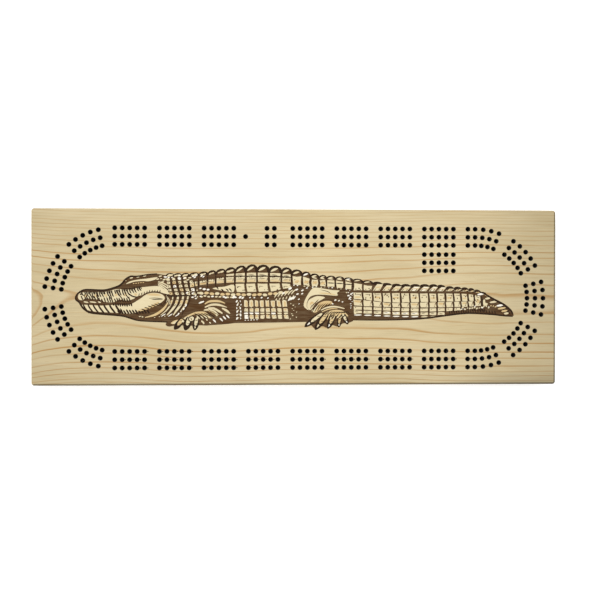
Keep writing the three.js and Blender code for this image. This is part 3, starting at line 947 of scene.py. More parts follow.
def draw_neck_folds(d):
    """The folds behind the cheek and over the shoulder."""
    for offset in (0, 1.5, 3, 4.4):
        d.stroke(PALE, [(-109.4, 13 - 0.6 * offset), (-105.2, 11.6 - 1.1 * offset),
                        (-101.4, 9.6 - 1.4 * offset)], 0.95, 0.4, 0.6)
    d.stroke(TOASTED, [(-101.6, -3.6), (-104.5, -8), (-108.5, -11.4), (-113, -13.7), (-119.6, -15.4)], 1.9,
             0.4)
    folds = [(-98.4, 1, 0.8), (-94.4, 1.7, 1.6), (-90.4, 1.7, 1.4), (-86.6, 1.3, 0.9)]
    for i, (x, width, low) in enumerate(folds):
        d.stroke(PALE, [(x + 0.8, 1.4), (x + 0.2, -1.8), (x - 1.6, -6), (x - 4.8, -10.2),
                        (x - 9 + i, -13.6)][:5 - i // 3], width, 0.8, 0.35)
        d.stroke(BURN, [(x - 0.4 * low, -1.2), (x + 1.2 * low, -1.6)], 0.6, 0.8, 0.8)
        d.oval(TOASTED, x - 0.5, -3.2, 1.3 * width / 2, 1.4)
        d.stroke(BURN, [(x - 2.6, -6.6), (x - 0.8, -5)], 0.5, 0.8, 0.8)
        d.stroke(CHAR, [(x + 2.5, 0.8), (x + 2, -2.2), (x + 0.1, -6.4), (x - 3, -10.8), (x - 7 + i, -14)],
                 0.7, 0.5, 0.4)
    d.stroke(CHAR, [(-104, 2.9), (-99.6, 1.5), (-91, 1.7), (-80, 2.2)], 1, 0.4, 0.3)
    d.stroke(CHAR, [(-105.2, 4.6), (-102.6, 1.4), (-103.2, -2.4), (-106.4, -6.4)], 0.8, 0.3, 0.3)
    for i in range(3):
        d.stroke(WHITE, [(-103.4 + 5.4 * i, -12.4), (-107 + 5.6 * i, -14.6)], 0.65, 0.4, 0.4)
        d.stroke(PALE, [(-102.8 + 0.9 * i, 2 - i), (-101.9 + 0.9 * i, -1 - i), (-103 + 0.9 * i, -3.6 - i)],
                 0.45)
    d.flecks(WHITE, [(-87.4, -5.6), (-87.8, -6.4), (-89.2, -8.6), (-91.4, -10.6), (-93.2, -12.4)], 0.9, 0.6,
             60)
    d.flecks(WHITE, [(-75.6, -3.4), (-82, 3.8), (-82.2, 0.6), (-79.6, -0.4), (-80, 1.6), (-86.6, 4.2)], 0.9)
    d.stroke(WHITE, [(-77.4, -4.2), (-73.2, -2.6)], 1.1, 0.5, 0.7)
    d.flecks(PALE, [(-123.6, -14.6), (-121.6, -14.9), (-112, -15.4), (-108.4, -14.8), (-104, -14.4)], 0.7,
             0.5, 0)


def draw_head(d):
    """The pale skin of the upper jaw, the brow, and the eye under it."""
    d.blob(PALE, [(-172, 1), (-171, 3.4), (-167.5, 4.4), (-160, 4.8), (-152.5, 4.6), (-147, 5.6),
                  (-141.5, 6.9), (-131.5, 6.6), (-125, 8), (-117, 9), (-109.5, 9.4), (-105.5, 7.6),
                  (-101.5, 5), (-101, 3), (-105, 3.7), (-109, 5.1), (-113.5, 5.3), (-118, 4.4), (-122, 2.4),
                  (-126.5, 1), (-128, -0.4), (-133, -2), (-140, -1.3), (-144, -3.3), (-151, -3.2),
                  (-155, -1.4), (-160.5, -0.9), (-166, -0.2), (-168.5, -1.7), (-171.2, -1.2)])
    d.blob(PALE, [(-134.5, 11), (-132, 12.8), (-127, 14.2), (-119, 15.2), (-110, 16.4), (-112, 14.4),
                  (-117, 13.2), (-121, 13.4), (-127, 13), (-131, 11.9)])
    for i in range(4):
        d.oval(PALE, -135.5 + 5.2 * i, 13.6 + 2.2 * min(i, 1) + 0.8 * max(0, i - 1), 1.4, 0.5, 12)
    for i in range(5):
        d.oval(TOASTED, -128.5 + 1.9 * i, 11.4 + 0.2 * i, 0.7, 0.35)
    d.stroke(CHAR, [(-133.5, 4.8), (-131.6, 2.7), (-129, 1.2), (-125.8, 0.6)], 0.95, 0.2, 0.9)
    d.stroke(PALE, [(-131.8, 5.2), (-129.9, 3.2), (-126.6, 2)], 0.5)


def draw_jaw_hatching(d):
    """Hatching down from the snout's top line and up from the mouth, and the wrinkles under the eye."""
    for i in range(24):
        x = -169 + 1.95 * i + 0.3 * uneven(i)
        top = 4.2 + 0.16 * max(0, x + 150)
        reach = 2.6 + 1.1 * (1 + uneven(i, 2))
        d.stroke(CHAR, [(x, top + 0.9), (x + 0.7, top - 0.5 * reach), (x + 1.9, top - reach)], 0.85, 1, 0.1)
        if i % 3:
            d.stroke(CHAR, [(x + 1, top + 0.9), (x + 1.5, top - 0.4), (x + 2.2, top - 1.6)], 0.6, 1, 0.1)
        if x < -131:
            low = -0.5 if x < -156 else -2.4
            reach = 2 + 0.9 * (1 + uneven(i, 4))
            d.stroke(CHAR, [(x + 1, low - 0.9), (x + 0.1, low + 0.5 * reach), (x - 0.3, low + reach)], 0.85,
                     1, 0.1)
        if i % 4 == 1:
            d.oval(TOASTED, x + 1.1, 1.6 + 0.05 * i, 1.1, 1.1)
    for x in (-149.6, -141, -135.6):
        d.stroke(CHAR, [(x, 4.6), (x + 1.4, 2.2), (x + 3, 0), (x + 4.4, -1.2)], 0.75, 0.8, 0.2)
    for i in range(9):
        x = -124.5 + 2.05 * i
        y = 1.8 + 0.7 * min(i, 4)
        d.stroke(CHAR, [(x, y), (x + 0.6, y + 1.9)], 0.55, 1, 0.1)
    for x, y in ((-169.6, 3), (-162.6, 4.6)):
        d.oval(CHAR, x, y, 1.1, 0.7, 20)


def draw_lower_jaw(d):
    """The mouth line, teeth, the ribbed lower jaw, and the toasted cheek."""
    for x0, x1 in ((-167.5, -164), (-162.8, -157.8), (-156.4, -154.2)):
        d.stroke(PALE, [(x0, -3), (x1, -3.6)], 1, 0.5, 0.6)
    d.blob(PALE, [(-169, -5.4), (-162, -5.6), (-153, -6), (-142.5, -5.4), (-134.5, -5.7), (-130, -4.6),
                  (-126.5, -2.6), (-122.5, 0), (-118.5, 2.8), (-114, 4), (-109.5, 3.8), (-106, 2.7),
                  (-104.2, 0.5), (-105, -2), (-111.5, -6.4), (-121, -9.7), (-131, -12.3), (-143, -11.6),
                  (-158.5, -10.8), (-166, -9), (-168.5, -7)])
    for i in range(7):
        x = -168 + 3.6 * i + 0.1 * i * i
        d.stroke(CHAR, [(x, -4.9), (x + 1.4, -7.8), (x + 4.6, -11.9)], 1 + 0.06 * i, 0.7, 0.9)
    for i in range(11):
        x = -140 + 2.3 * i
        d.stroke(CHAR, [(x - 1.3, -8.6 - 0.1 * i + 0.8 * uneven(i)), (x + 0.8, -12.6 + 0.05 * i)], 1.15,
                 0.1, 1)
    for i in range(9):
        x = -144.5 + 1.75 * i
        d.stroke(CHAR, [(x, -4.2), (x + 0.6, -7 - 0.7 * uneven(i))], 1.05, 1, 0.1)
    d.blob(TOASTED, [(-118, 2.6), (-114, 3.6), (-110, 3.3), (-106.8, 2), (-111, 1.7), (-115.5, 1.9)])
    d.blob(TOASTED, [(-125, -9.7), (-121, -8.3), (-115.5, -6.6), (-111.5, -4.2), (-108.6, -3), (-110.6, -5.8),
                     (-116, -8.2), (-121, -9.9), (-125.4, -10.9)])
    d.stroke(CHAR, [(-116.5, -0.3), (-111.5, 0), (-105.5, -0.6)], 0.4)
    d.stroke(CHAR, [(-114.6, -1.3), (-110, -1), (-105.8, -1)], 0.65, 0.1, 0.6)
    for i in range(8):
        t = i / 7
        x, y = -125.4 + 18 * t, -12.2 + 7.8 * t + 1.2 * math.sin(math.pi * t)
        d.stroke(CHAR, [(x - 2.5, y + 0.4), (x + 1.1, y - 0.7)], 0.7, 0.1, 1)


def draw_toe(d, knuckle, tip, width, skin, claw=WHITE):
    """One toe, from its knuckle to the tip of its claw: a dark rim, the pale skin, a fold, and the claw."""
    length = math.dist(knuckle, tip)
    c, s = (tip[0] - knuckle[0]) / length, (tip[1] - knuckle[1]) / length

    def at(along, across):
        return (knuckle[0] + along * length * c - across * width * s,
                knuckle[1] + along * length * s + across * width * c)

    d.blob(CHAR, [at(-0.1, 0.6), at(0.4, 0.84), at(0.74, 0.74), at(1, 0.26), at(1.02, -0.2), at(0.74, -0.74),
                  at(0.4, -0.84), at(-0.1, -0.6)])
    d.blob(skin, [at(-0.12, 0.3), at(0.28, 0.42), at(0.5, 0.3), at(0.6, 0), at(0.48, -0.34), at(0.2, -0.42),
                  at(-0.12, -0.26)])
    if claw != BURN:
        d.blob(claw, [at(0.7, 0.2), at(0.88, 0.02), at(0.68, -0.2)])
    d.stroke(BURN, [at(0.02, 0.3), at(0.16, -0.3)], 0.5, 0.8, 0.2)
    d.stroke(BURN, [at(0.36, 0.4), at(0.46, -0.1)], 0.4, 0.8, 0.2)


def draw_fore_leg(d):
    """The dark ground of the fore leg, the folded skin of its upper arm, and the forearm."""
    d.blob(BURN, [(-99, -17), (-103.4, -20.8), (-101, -22.6), (-97, -22), (-92, -21.6), (-85, -22),
                  (-76, -21.6), (-72, -21.8), (-66, -21.4), (-55, -20.6), (-48, -19), (-60, -14),
                  (-82, -14)])
    d.stroke(TOASTED, [(-72.6, -4.8), (-69.5, -2.9), (-65.5, -2.4), (-60.5, -2.7), (-56.6, -4.2)], 1.7, 0.5)
    d.stroke(PALE, [(-72.6, -7.4), (-67.5, -5.4), (-61.5, -5.4), (-55, -7.4)], 1.7, 0.5, 0.2)
    d.stroke(PALE, [(-70, -7.9), (-65.5, -8.2), (-61.4, -10.4), (-58.6, -12.2)], 1.7, 0.4, 0.5)
    d.stroke(PALE, [(-73.4, -9.6), (-69, -9.3), (-65, -11), (-62.4, -13.9)], 2.1, 0.3, 0.9)
    d.stroke(TOASTED, [(-70.4, -9.9), (-66, -11.4), (-63.8, -13.6)], 0.7)
    d.stroke(PALE, [(-59, -8), (-55.5, -9.9), (-52.6, -12.4)], 1.7, 0.5, 0.2)
    for x, y in ((-70.4, -9.2), (-67.6, -10.2), (-65, -11.8)):
        d.stroke(BURN, [(x, y), (x + 2.2, y - 1), (x + 3.6, y - 2.8)], 0.45)
    d.blob(TOASTED, [(-99.4, -19.9), (-96, -17.6), (-90.6, -16.6), (-85.5, -13.4), (-79.5, -11),
                     (-73, -10.8), (-69, -13.6), (-66.6, -15.8), (-70.5, -15.8), (-75.5, -13.7),
                     (-80.5, -12.9), (-84.5, -14.6), (-88.5, -17.4), (-93.5, -19.2), (-96.4, -20.6)])
    d.blob(PALE, [(-98.8, -20.2), (-95.2, -18.2), (-91, -17.2), (-87, -14.9), (-84, -13.8), (-87, -15.9),
                  (-91.5, -18.2), (-95, -20)])
    for i in range(5):
        x = -81 + 2.6 * i
        d.stroke(CHAR, [(x, -12.2 + 0.1 * i), (x + 3.4, -13.6), (x + 6, -16.2 + 0.2 * i)], 0.75, 0.3, 0.7)
    for i in range(4):
        d.stroke(PALE, [(-79 + 2.9 * i, -13.9), (-76.4 + 2.9 * i, -16.6 + 0.3 * i)], 0.8)


def draw_hand(d):
    """The toes below the belly line, the wrist over them, and the glints beside it."""
    draw_toe(d, (-90.4, -17.2), (-96.4, -24.6), 3, TOASTED, BURN)
    draw_toe(d, (-84.8, -16.4), (-88, -25.2), 3.4, PALE, BURN)
    draw_toe(d, (-79, -17), (-80.6, -25.2), 2.9, PALE, PALE)
    d.stroke(CHAR, [(-92, -15.8), (-88.6, -17.2), (-87.4, -20)], 0.9, 0.3, 0.8)
    d.oval(CHAR, -83, -16.4, 2.9, 2.6, 30)
    d.oval(PALE, -83, -16.4, 2.1, 1.8, 30)
    d.stroke(BURN, [(-84.4, -15.6), (-83, -16.4), (-83.2, -17.8)], 0.5)
    d.stroke(PALE, [(-90.4, -17.8), (-89.2, -18.9)], 1.5, 0.7, 0.7)
    d.flecks(PALE, [(-74.6, -18.6), (-73.6, -19.6), (-78.4, -16), (-68.4, -19.6), (-71, -17.2)], 1.2, 0.6,
             -45)
    for x, y in ((-65, -18), (-59.6, -17), (-57, -15.6), (-54.4, -14.6)):
        d.stroke(WHITE, [(x - 1.2, y + 1.2), (x, y), (x + 1.2, y - 1.3)], 1.1, 0.4, 0.4)


def draw_hind_leg(d):
    """The dark ground of the hind leg, and the thigh in nested folds."""
    d.blob(BURN, [(11, -16), (6.8, -21), (8, -23), (11.6, -21.6), (14.6, -24.4), (18, -22.8), (21.4, -22.6),
                  (24.4, -23.6), (28.6, -21.6), (33.4, -22.8), (37, -20.2), (41, -20), (45.5, -17.2),
                  (34, -13), (18, -13)])
    d.blob(PALE, [(5.8, -6), (6.6, -2), (9, 2.6), (11.8, 6.6), (14.4, 8.4), (21.5, 7.6), (28.5, 6.4),
                  (34.4, 6), (32.4, 4.2), (32.8, 2), (27, 2.2), (22.5, 2.6), (15.5, 2.6), (11, 1),
                  (8.8, -2.4), (8.2, -6.4), (9.8, -9.6), (7.4, -8.2)])
    d.blob(PALE, [(8.5, -6), (9.5, -2.2), (12.3, 0), (17, 1.6), (22.8, 0.6), (19.4, -1.7), (15.2, -4.4),
                  (12, -9), (9.7, -9)])
    d.stroke(TOASTED, [(18, 4), (25, 3.6), (31.4, 2.6)], 1.1)
    d.stroke(BURN, [(19, 6.6), (25, 5.2), (27.4, 3.4)], 0.5)
    d.stroke(TOASTED, [(10.8, -5.2), (12.6, -3.4), (13.4, -4.8)], 1.6, 0.6)
    for i in range(5):
        d.stroke(BURN, [(11.2 + 1.2 * i, -8.4 + 1.3 * i), (12.5 + 1.3 * i, -5.4 + 1.1 * i)], 0.5, 0.6, 0.2)
    d.blob(TOASTED, [(15.2, -6.6), (18.6, -3.8), (22.6, -2.3), (27.6, -2.5), (28.6, -4.6), (23.5, -5.8),
                     (19.3, -8.7), (15.6, -11.4), (12.8, -10.6)])
    d.blob(PALE, [(12.2, -10.2), (15, -7), (17.3, -4.6), (16.3, -7.4), (14, -11)])
    for i in range(6):
        x = 12.6 + 2.05 * i
        d.stroke(CHAR, [(x, -11.2 + 0.4 * i), (x + 2, -7.6 + 0.3 * i), (x + 5, -4.6 + 0.2 * i)], 0.6, 0.7,
                 0.1)
    d.flecks(WHITE, [(28.9, -4.6), (33.9, -2.2), (36.8, -3), (31, -1.6)], 0.8)
    d.stroke(PALE, [(19.6, -9.6), (23.5, -7.8), (28.5, -6.8), (33.5, -7.2), (38.4, -8.4)], 1.3, 0.5, 0.5)
    d.stroke(TOASTED, [(20.4, -11), (24.5, -9.2), (29, -8.3), (33, -8.6)], 0.9, 0.5)


def draw_foot(d):
    """The shin, five toes, and the creases over them."""
    d.blob(TOASTED, [(22, -12.8), (26, -10.4), (31, -9.4), (36, -9.8), (39.2, -11.6), (41.4, -14.6),
                     (38.4, -14), (35.6, -15), (31, -16.4), (27, -18.4), (24.4, -16.6), (21, -15.4)])
    draw_toe(d, (18.6, -13.6), (7, -22.6), 2.8, PALE)
    draw_toe(d, (23.4, -13.6), (15.2, -24.8), 3.2, TOASTED, PALE)
    draw_toe(d, (29.6, -14.8), (25, -24), 2.8, TOASTED)
    draw_toe(d, (34.6, -16.4), (33.8, -23), 2.1, TOASTED)
    draw_toe(d, (37.6, -13.8), (41, -20.6), 2.4, PALE)
    for i in range(8):
        x = 22.6 + 2.2 * i
        d.stroke(CHAR, [(x, -13.6 + 0.25 * i), (x + 2.4, -11.6 + 0.1 * i),
                        (x + 3.8 + 0.2 * i, -10.4 - 0.3 * i)], 0.55, 0.8, 0.2)
    for i in range(5):
        x = 25.4 + 2.8 * i
        d.stroke(CHAR, [(x, -17.4 + 0.5 * i), (x + 1.2, -14.6), (x + 2.8, -12.6)], 0.8, 0.8, 0.2)
        d.stroke(PALE, [(x + 1.4, -17 + 0.5 * i), (x + 2.4, -14.8)], 0.6)


def draw_rim(d):
    """The charred outline round the head and throat."""
    d.stroke(CHAR, HEAD_LINE, 1.3, 0.8, 0.6)
    d.stroke(CHAR, THROAT_LINE, 1.3, 0.8, 0.6)
    d.stroke(CHAR, BELLY_LINE[4:], 1.2, 0.4, 0.8)


def crocodile():
    """The shapes of the whole animal."""
    drawing = Drawing()
    for part in (draw_body, draw_back_scutes, draw_trunk_plates, draw_flank_beads, draw_hip_plates,
                 draw_belly, draw_belly_glints, draw_tail_plates, draw_tail_crest, draw_tail_tip, draw_neck,
                 draw_neck_folds, draw_head, draw_jaw_hatching, draw_lower_jaw, draw_fore_leg, draw_hand,
                 draw_hind_leg, draw_foot, draw_rim):
        part(drawing)
    return drawing.shapes


# ------------------------------------------------------------------------------------------
# The board

def step_x(step):
    """Where a step of the straights lies. They run from the left end's centre to the right end's."""
    return (step - STRAIGHT_STEPS / 2) * HOLE_STEP


def straight_holes():
    """Groups of five down both long sides; the start holes take one group's place."""
    holes = []
    for step in range(STRAIGHT_STEPS + 1):
        group = step - step % GROUP_STEPS
        sides = (-1,) if group == START_GROUP_STEP else (1, -1)
        if step % GROUP_STEPS < GROUP_HOLES:
            holes += [(step_x(step), side * offset) for offset in LANE_OFFSETS for side in sides]
    return holes


def curve_hole(end, offset, side, degrees):
    """A hole on an end curve, by its angle from the long edge."""
    angle = math.radians(degrees)
    return (end * (step_x(STRAIGHT_STEPS) + offset * math.sin(angle)), side * offset * math.cos(angle))


def curve_holes():
    """Two groups a quarter at each end, less what the layout leaves out, and one across the right end."""
    right_steps = [1, 2, 3, 5, 6, 7, 8, 9]
    left_steps = [2, 3, 4, 5, 6, 8, 9, 10, 11, 12]
    holes = []
    for offset in LANE_OFFSETS:
        for side in (1, -1):
            holes += [curve_hole(1, offset, side, step * RIGHT_STEP_ANGLE) for step in right_steps]
            holes += [curve_hole(-1, offset, side, step * LEFT_STEP_ANGLE) for step in left_steps]
        holes += [curve_hole(1, offset, 1, 90 + step * RIGHT_STEP_ANGLE) for step in range(-2, 3)]
    return holes


def start_and_game_holes():
    """The finish hole, six start holes, and three rows that count games."""
    finish = [(step_x(FINISH_STEP), LANE_OFFSETS[1])]
    start = [(step_x(START_STEP + column), offset) for offset in LANE_OFFSETS for column in range(2)]
    games = [(step_x(GAME_STEP + column), GAME_OUTER_Y - row * LANE_PITCH)
             for row in range(GAME_ROWS) for column in range(GROUP_HOLES)]
    return finish + start + games


def smoke_marks():
    """Short scorches on the +X side of many -Y holes, mostly in the middle lane."""
    marks = Drawing()
    marked_steps = (range(4, 13), range(STRAIGHT_STEPS), range(20))
    for lane, steps in enumerate(marked_steps):
        for step in steps:
            if step % GROUP_STEPS < GROUP_HOLES and uneven(step, lane) > -0.4:
                x = step_x(step) + HOLE_RADIUS + HOLE_EASE + 0.6
                marks.oval(BURN, x, -LANE_OFFSETS[lane], 0.55, 0.42 + 0.16 * uneven(step, 3), sides=6)
    return marks.shapes


def drill(shape, rim, x, y):
    """A blind hole down from its rim, with an eased edge and a drill point."""
    edge = shape.ring(circle(HOLE_RADIUS, HOLE_SIDES, x, y), TOP - HOLE_EASE)
    floor = shape.ring(circle(HOLE_RADIUS, HOLE_SIDES, x, y), TOP - HOLE_DEPTH + DRILL_POINT)
    shape.skirt(edge, rim, HOLE)
    shape.skirt(floor, edge, HOLE)
    shape.fan(floor, (x, y, TOP - HOLE_DEPTH), HOLE)


def edge_profile():
    """(inset, height) down the plank's rounded edge, from the top face to the underside."""
    steps = 8
    rounding = []
    for k in range(steps + 1):
        angle = math.pi / 2 * k / steps
        rounding.append((EDGE_ROUND * (1 - math.sin(angle)), EDGE_ROUND * (1 - math.cos(angle))))
    upper = [(inset, TOP - drop) for inset, drop in rounding]
    lower = [(inset, UNDERSIDE + drop) for inset, drop in rounding[::-1]]
    return upper + lower


def plank_outline(inset):
    return rounded_rectangle(BOARD_LENGTH - 2 * inset, BOARD_WIDTH - 2 * inset, CORNER_RADIUS - inset)


def store_outline(inset):
    return rounded_rectangle(STORE_LENGTH - 2 * inset, 2 * (STORE_RADIUS - inset), STORE_RADIUS - inset,
                             steps=12)


def rout_store(shape, rim):
    """The peg store: straight walls up from the underside, and a round cove where they meet its roof."""
    cove = 1.5
    steps = 4
    below = rim
    levels = [(0, UNDERSIDE + STORE_DEPTH - cove)]
    for k in range(1, steps + 1):
        angle = math.pi / 2 * k / steps
        levels.append((cove * (1 - math.cos(angle)), UNDERSIDE + STORE_DEPTH - cove * (1 - math.sin(angle))))
    for inset, height in levels:
        above = shape.ring(store_outline(inset), height)
        shape.skirt(below, above, PALE)
        below = above
    shape.face(below[::-1], PALE)


def unfolded(point, centre, normal, drilled):
    """Where a face's corner lies on its strip of the flat map, and the strip's name."""
    facing, flat = 0.7, 0.9
    hole_wall_u, second_row = 6, 20
    drawing_level = TOP - BURN_DEPTH - 0.1
    x, y, z = point
    u, v = x + BOARD_LENGTH / 2, y + BOARD_WIDTH / 2
    inner = abs(centre.x) < BOARD_LENGTH / 2 - EDGE_ROUND and abs(centre.y) < BOARD_WIDTH / 2 - EDGE_ROUND
    if drilled and abs(normal.z) < flat:
        return (x - centre.x) + hole_wall_u, z, "inside"
    if normal.z > facing or centre.z > drawing_level and inner:
        return u, v, "top"
    if normal.z < -facing:
        return u, v, "underside"
    if inner:
        return u, z + second_row * (normal.y > 0), "inside"
    if abs(normal.x) > abs(normal.y):
        return v + (BOARD_WIDTH + STRIP_GAP) * (normal.x > 0), z - UNDERSIDE, "ends"
    return u, z - UNDERSIDE, "back" if normal.y > 0 else "front"


def lay_flat(mesh):
    """The board's own map for baking: its strips side by side at one scale."""
    width = BOARD_LENGTH + STRIP_GAP
    layer = mesh.uv_layers.new(name="OFBake")
    for polygon in mesh.polygons:
        centre, normal = polygon.center / MM, polygon.normal
        drilled = polygon.material_index == HOLE
        for loop in polygon.loop_indices:
            point = mesh.vertices[mesh.loops[loop].vertex_index].co / MM
            u, v, strip = unfolded(point, centre, normal, drilled)
            base = STRIPS[strip] * (BOARD_WIDTH + STRIP_GAP)
            layer.uv[loop].vector = ((u + STRIP_GAP / 2) / width, (v + base + STRIP_GAP / 2) / width)


def board_skins():
    """The materials of the board's mesh, in the order of its skins."""
    grain = pine_grain_and_shade()
    return [
        wood_skin("pine", grain),
        wood_skin("burned_pine", grain, (64, 38, 12), 1.0, 0.13, roughness=0.9, relief=0.08),
        wood_skin("charred_line", grain, (36, 19, 5), 1.0, 0.02, roughness=0.9, relief=0.08),
        wood_skin("toasted_pine", grain, (192, 162, 108), 0.75, 0.3),
        wood_skin("pale_pine", grain, (203, 190, 154), 0.9, 0.25),
        wood_skin("bleached_pine", grain, (222, 217, 203), 1.0, 0.2),
        charred_hole(),
    ]


def work_top(shape, border):
    """The face with its drawing and its peg holes. Returns the ring of its border."""
    track = straight_holes() + curve_holes() + start_and_game_holes()
    holes = [(x + TRACK_X, y + TRACK_Y) for x, y in track]
    drawing = [(skin, [(x + TRACK_X, y + TRACK_Y) for x, y in outline])
               for skin, outline in crocodile() + smoke_marks()]
    rims = [circle(HOLE_RADIUS + HOLE_EASE, HOLE_SIDES, x, y) for x, y in holes]
    rings = sheet(shape, border, rims, drawing, TOP, sunk=(BURN, CHAR), depth=BURN_DEPTH)
    for rim, (x, y) in zip(rings[1:], holes):
        drill(shape, rim, x, y)
    return rings[0]


def work_underside(shape, border):
    """The underside with the peg store and the screw holes. Returns the ring of its border."""
    screws = [(x, y) for x in (-FOOT_X, FOOT_X) for y in (-FOOT_Y, FOOT_Y)] + [(-PIVOT_X, 0), (PIVOT_X, 0)]
    bores = [store_outline(0)] + [circle(SCREW_HOLE_RADIUS, HOLE_SIDES, x, y) for x, y in screws]
    rings = sheet(shape, border, bores, [], UNDERSIDE, up=False)
    rout_store(shape, rings[1])
    for rim, (x, y) in zip(rings[2:], screws):
        end = shape.ring(circle(SCREW_HOLE_RADIUS, HOLE_SIDES, x, y), UNDERSIDE + SCREW_IN_WOOD)
        shape.skirt(rim, end, PALE)
        shape.face(end[::-1], PALE)
    return rings[0]


def make_board():
    """The plank: drilled and burned on its face, routed and bored on its underside."""
    shape = Shape()
    levels = edge_profile()
    above = work_top(shape, plank_outline(levels[0][0]))
    bottom = work_underside(shape, plank_outline(levels[-1][0]))
    for inset, height in levels[1:-1]:
        below = shape.ring(plank_outline(inset), height)
        shape.skirt(above, below)
        above = below
    shape.skirt(above, bottom)
    board = shape.build("pine_board", board_skins(), "board", "board")
    lay_flat(board.data)


# ------------------------------------------------------------------------------------------
# What is screwed to the underside, and the pegs in the store

GAP = 0.3
FOOT_HEIGHT = UNDERSIDE - GAP
FOOT_RADIUS = 8
FOOT_SEAT = 3.4
SCREW_RADIUS = 1.75
SCREW_HEAD_RADIUS = 3.4
SCREW_HEAD_HEIGHT = 1.8
THREAD_PITCH = 1.3
THREAD_DEPTH = 0.35
COVER_TOP = UNDERSIDE - GAP
COVER_BOTTOM = 4.1
COVER_RADIUS = 13
WASHER_RADIUS = 4.4
WASHER_THICKNESS = 0.5
PEG_LENGTH = 32
PEG_HEAD_RADIUS = 2.4
PEG_TIP_RADIUS = 1.25
PEG_COLUMN_PITCH = 35.5
PEG_ROW_PITCH = 6
PEG_SIDES = 32
ROUND_SIDES = 48


def add_foot(name, finish, x, y):
    """A moulded foot: it widens towards the plank, and a counterbore hides its screw."""
    head_room = SCREW_HEAD_RADIUS + 0.6
    shape = Shape()
    outside = [(head_room + 0.3, 0), (6.6, 0), (7, 0.12), (7.3, 0.4), (7.42, 0.8), (7.7, 3), (7.72, 3.3),
               (7.62, 3.5), (7.76, 3.7), (FOOT_RADIUS - 0.05, FOOT_HEIGHT - 0.4),
               (FOOT_RADIUS - 0.25, FOOT_HEIGHT)]
    inside = [(SCREW_HOLE_RADIUS, FOOT_HEIGHT), (SCREW_HOLE_RADIUS, FOOT_SEAT), (head_room, FOOT_SEAT),
              (head_room, 0.3)]
    turned(shape, outside + inside, ROUND_SIDES, lambda u, v, w: (x + u, y + v, w))
    shape.build(f"{name}_moulded", [finish], "board", name)


def cross(reach, half_width):
    """The outline of a cross-head screw's recess."""
    arm = [(reach, -half_width), (reach, half_width), (half_width, half_width)]
    quarter_turns = ((1, 0), (0, 1), (-1, 0), (0, -1))
    return [(x * c - y * s, x * s + y * c) for c, s in quarter_turns for x, y in arm]


def add_screw(name, finish, bearing, x, y):
    """A pan-head wood screw driven upward: a cross recess, a domed head and a tapering thread."""
    head = bearing - SCREW_HEAD_HEIGHT
    end = UNDERSIDE + SCREW_IN_WOOD
    shape = Shape()
    sunk_skin = 1
    recess = [(x + u, y + v) for u, v in cross(reach=1.5, half_width=0.38)]
    rim = circle(2.1, ROUND_SIDES, x, y)
    below = sheet(shape, rim, [], [(sunk_skin, recess)], head, up=False, sunk=(sunk_skin,), depth=0.8)[0]
    levels = [(2.6, head + 0.1), (3, head + 0.3), (3.28, head + 0.6), (SCREW_HEAD_RADIUS, head + 1),
              (SCREW_HEAD_RADIUS, bearing - 0.1), (SCREW_HEAD_RADIUS - 0.1, bearing), (SCREW_RADIUS, bearing)]
    height = bearing + 1
    while height < end - THREAD_PITCH:
        crest = SCREW_RADIUS * min(1, 0.35 + (end - height) / 4)
        levels += [(crest - THREAD_DEPTH, height), (crest, height + THREAD_PITCH / 2)]
        height += THREAD_PITCH
    for radius, height in levels:
        above = shape.ring(circle(radius, ROUND_SIDES, x, y), height)
        shape.skirt(above, below)
        below = above
    shape.fan(below, (x, y, end))
    shape.skins = [0] * len(shape.faces)
    shape.build(f"{name}_turned", [finish], "board", name)


def add_washer(finish):
    top = COVER_BOTTOM - GAP
    bottom = top - WASHER_THICKNESS
    ease = 0.08
    shape = Shape()
    turned(shape, [
        (SCREW_HOLE_RADIUS + ease, bottom), (WASHER_RADIUS - ease, bottom), (WASHER_RADIUS, bottom + ease),
        (WASHER_RADIUS, top - ease), (WASHER_RADIUS - ease, top), (SCREW_HOLE_RADIUS, top),
        (SCREW_HOLE_RADIUS, bottom + ease),
    ], ROUND_SIDES, lambda x, y, z: (x + PIVOT_X, y, z))
    shape.build("pivot_washer", [finish], "board", "cover_pivot_washer")


def arc(x, y, radius, start, stop, steps):
    """Points on an arc from one angle to another, in radians."""
    angles = [start + (stop - start) * k / steps for k in range(steps + 1)]
    return [(x + radius * math.cos(a), y + radius * math.sin(a)) for a in angles]


def cover_outline():
    """The plate with its round ends, and the slot that swings in from the +Y edge round the latch screw."""
    half_slot = SCREW_HOLE_RADIUS + GAP
    inner = 2 * PIVOT_X - half_slot
    outer = 2 * PIVOT_X + half_slot
    mouth_right = math.asin(COVER_RADIUS / inner)
    mouth_left = math.acos(((2 * PIVOT_X) ** 2 + outer ** 2 - COVER_RADIUS ** 2) / (4 * PIVOT_X * outer))
    left_x, left_y = PIVOT_X - outer * math.cos(mouth_left), outer * math.sin(mouth_left)
    left_angle = math.atan2(left_y, left_x + PIVOT_X)
    points = arc(-PIVOT_X, 0, COVER_RADIUS, left_angle, 1.5 * math.pi, 20)
    points += arc(PIVOT_X, 0, COVER_RADIUS, -math.pi / 2, math.pi / 2, 24)
    points += arc(PIVOT_X, 0, inner, math.pi - mouth_right, math.pi, 6)
    points += arc(-PIVOT_X, 0, half_slot, 0, -math.pi, 12)[1:]
    return points + arc(PIVOT_X, 0, outer, math.pi, math.pi - mouth_left, 6)[1:-1]


def moved_in(points, by):
    """A closed anticlockwise outline moved inward, corner by corner."""
    moved = []
    for i, (x, y) in enumerate(points):
        (x0, y0), (x1, y1) = points[i - 1], points[(i + 1) % len(points)]
        size = math.hypot(x1 - x0, y1 - y0)
        moved.append((x - by * (y1 - y0) / size, y + by * (x1 - x0) / size))
    return moved


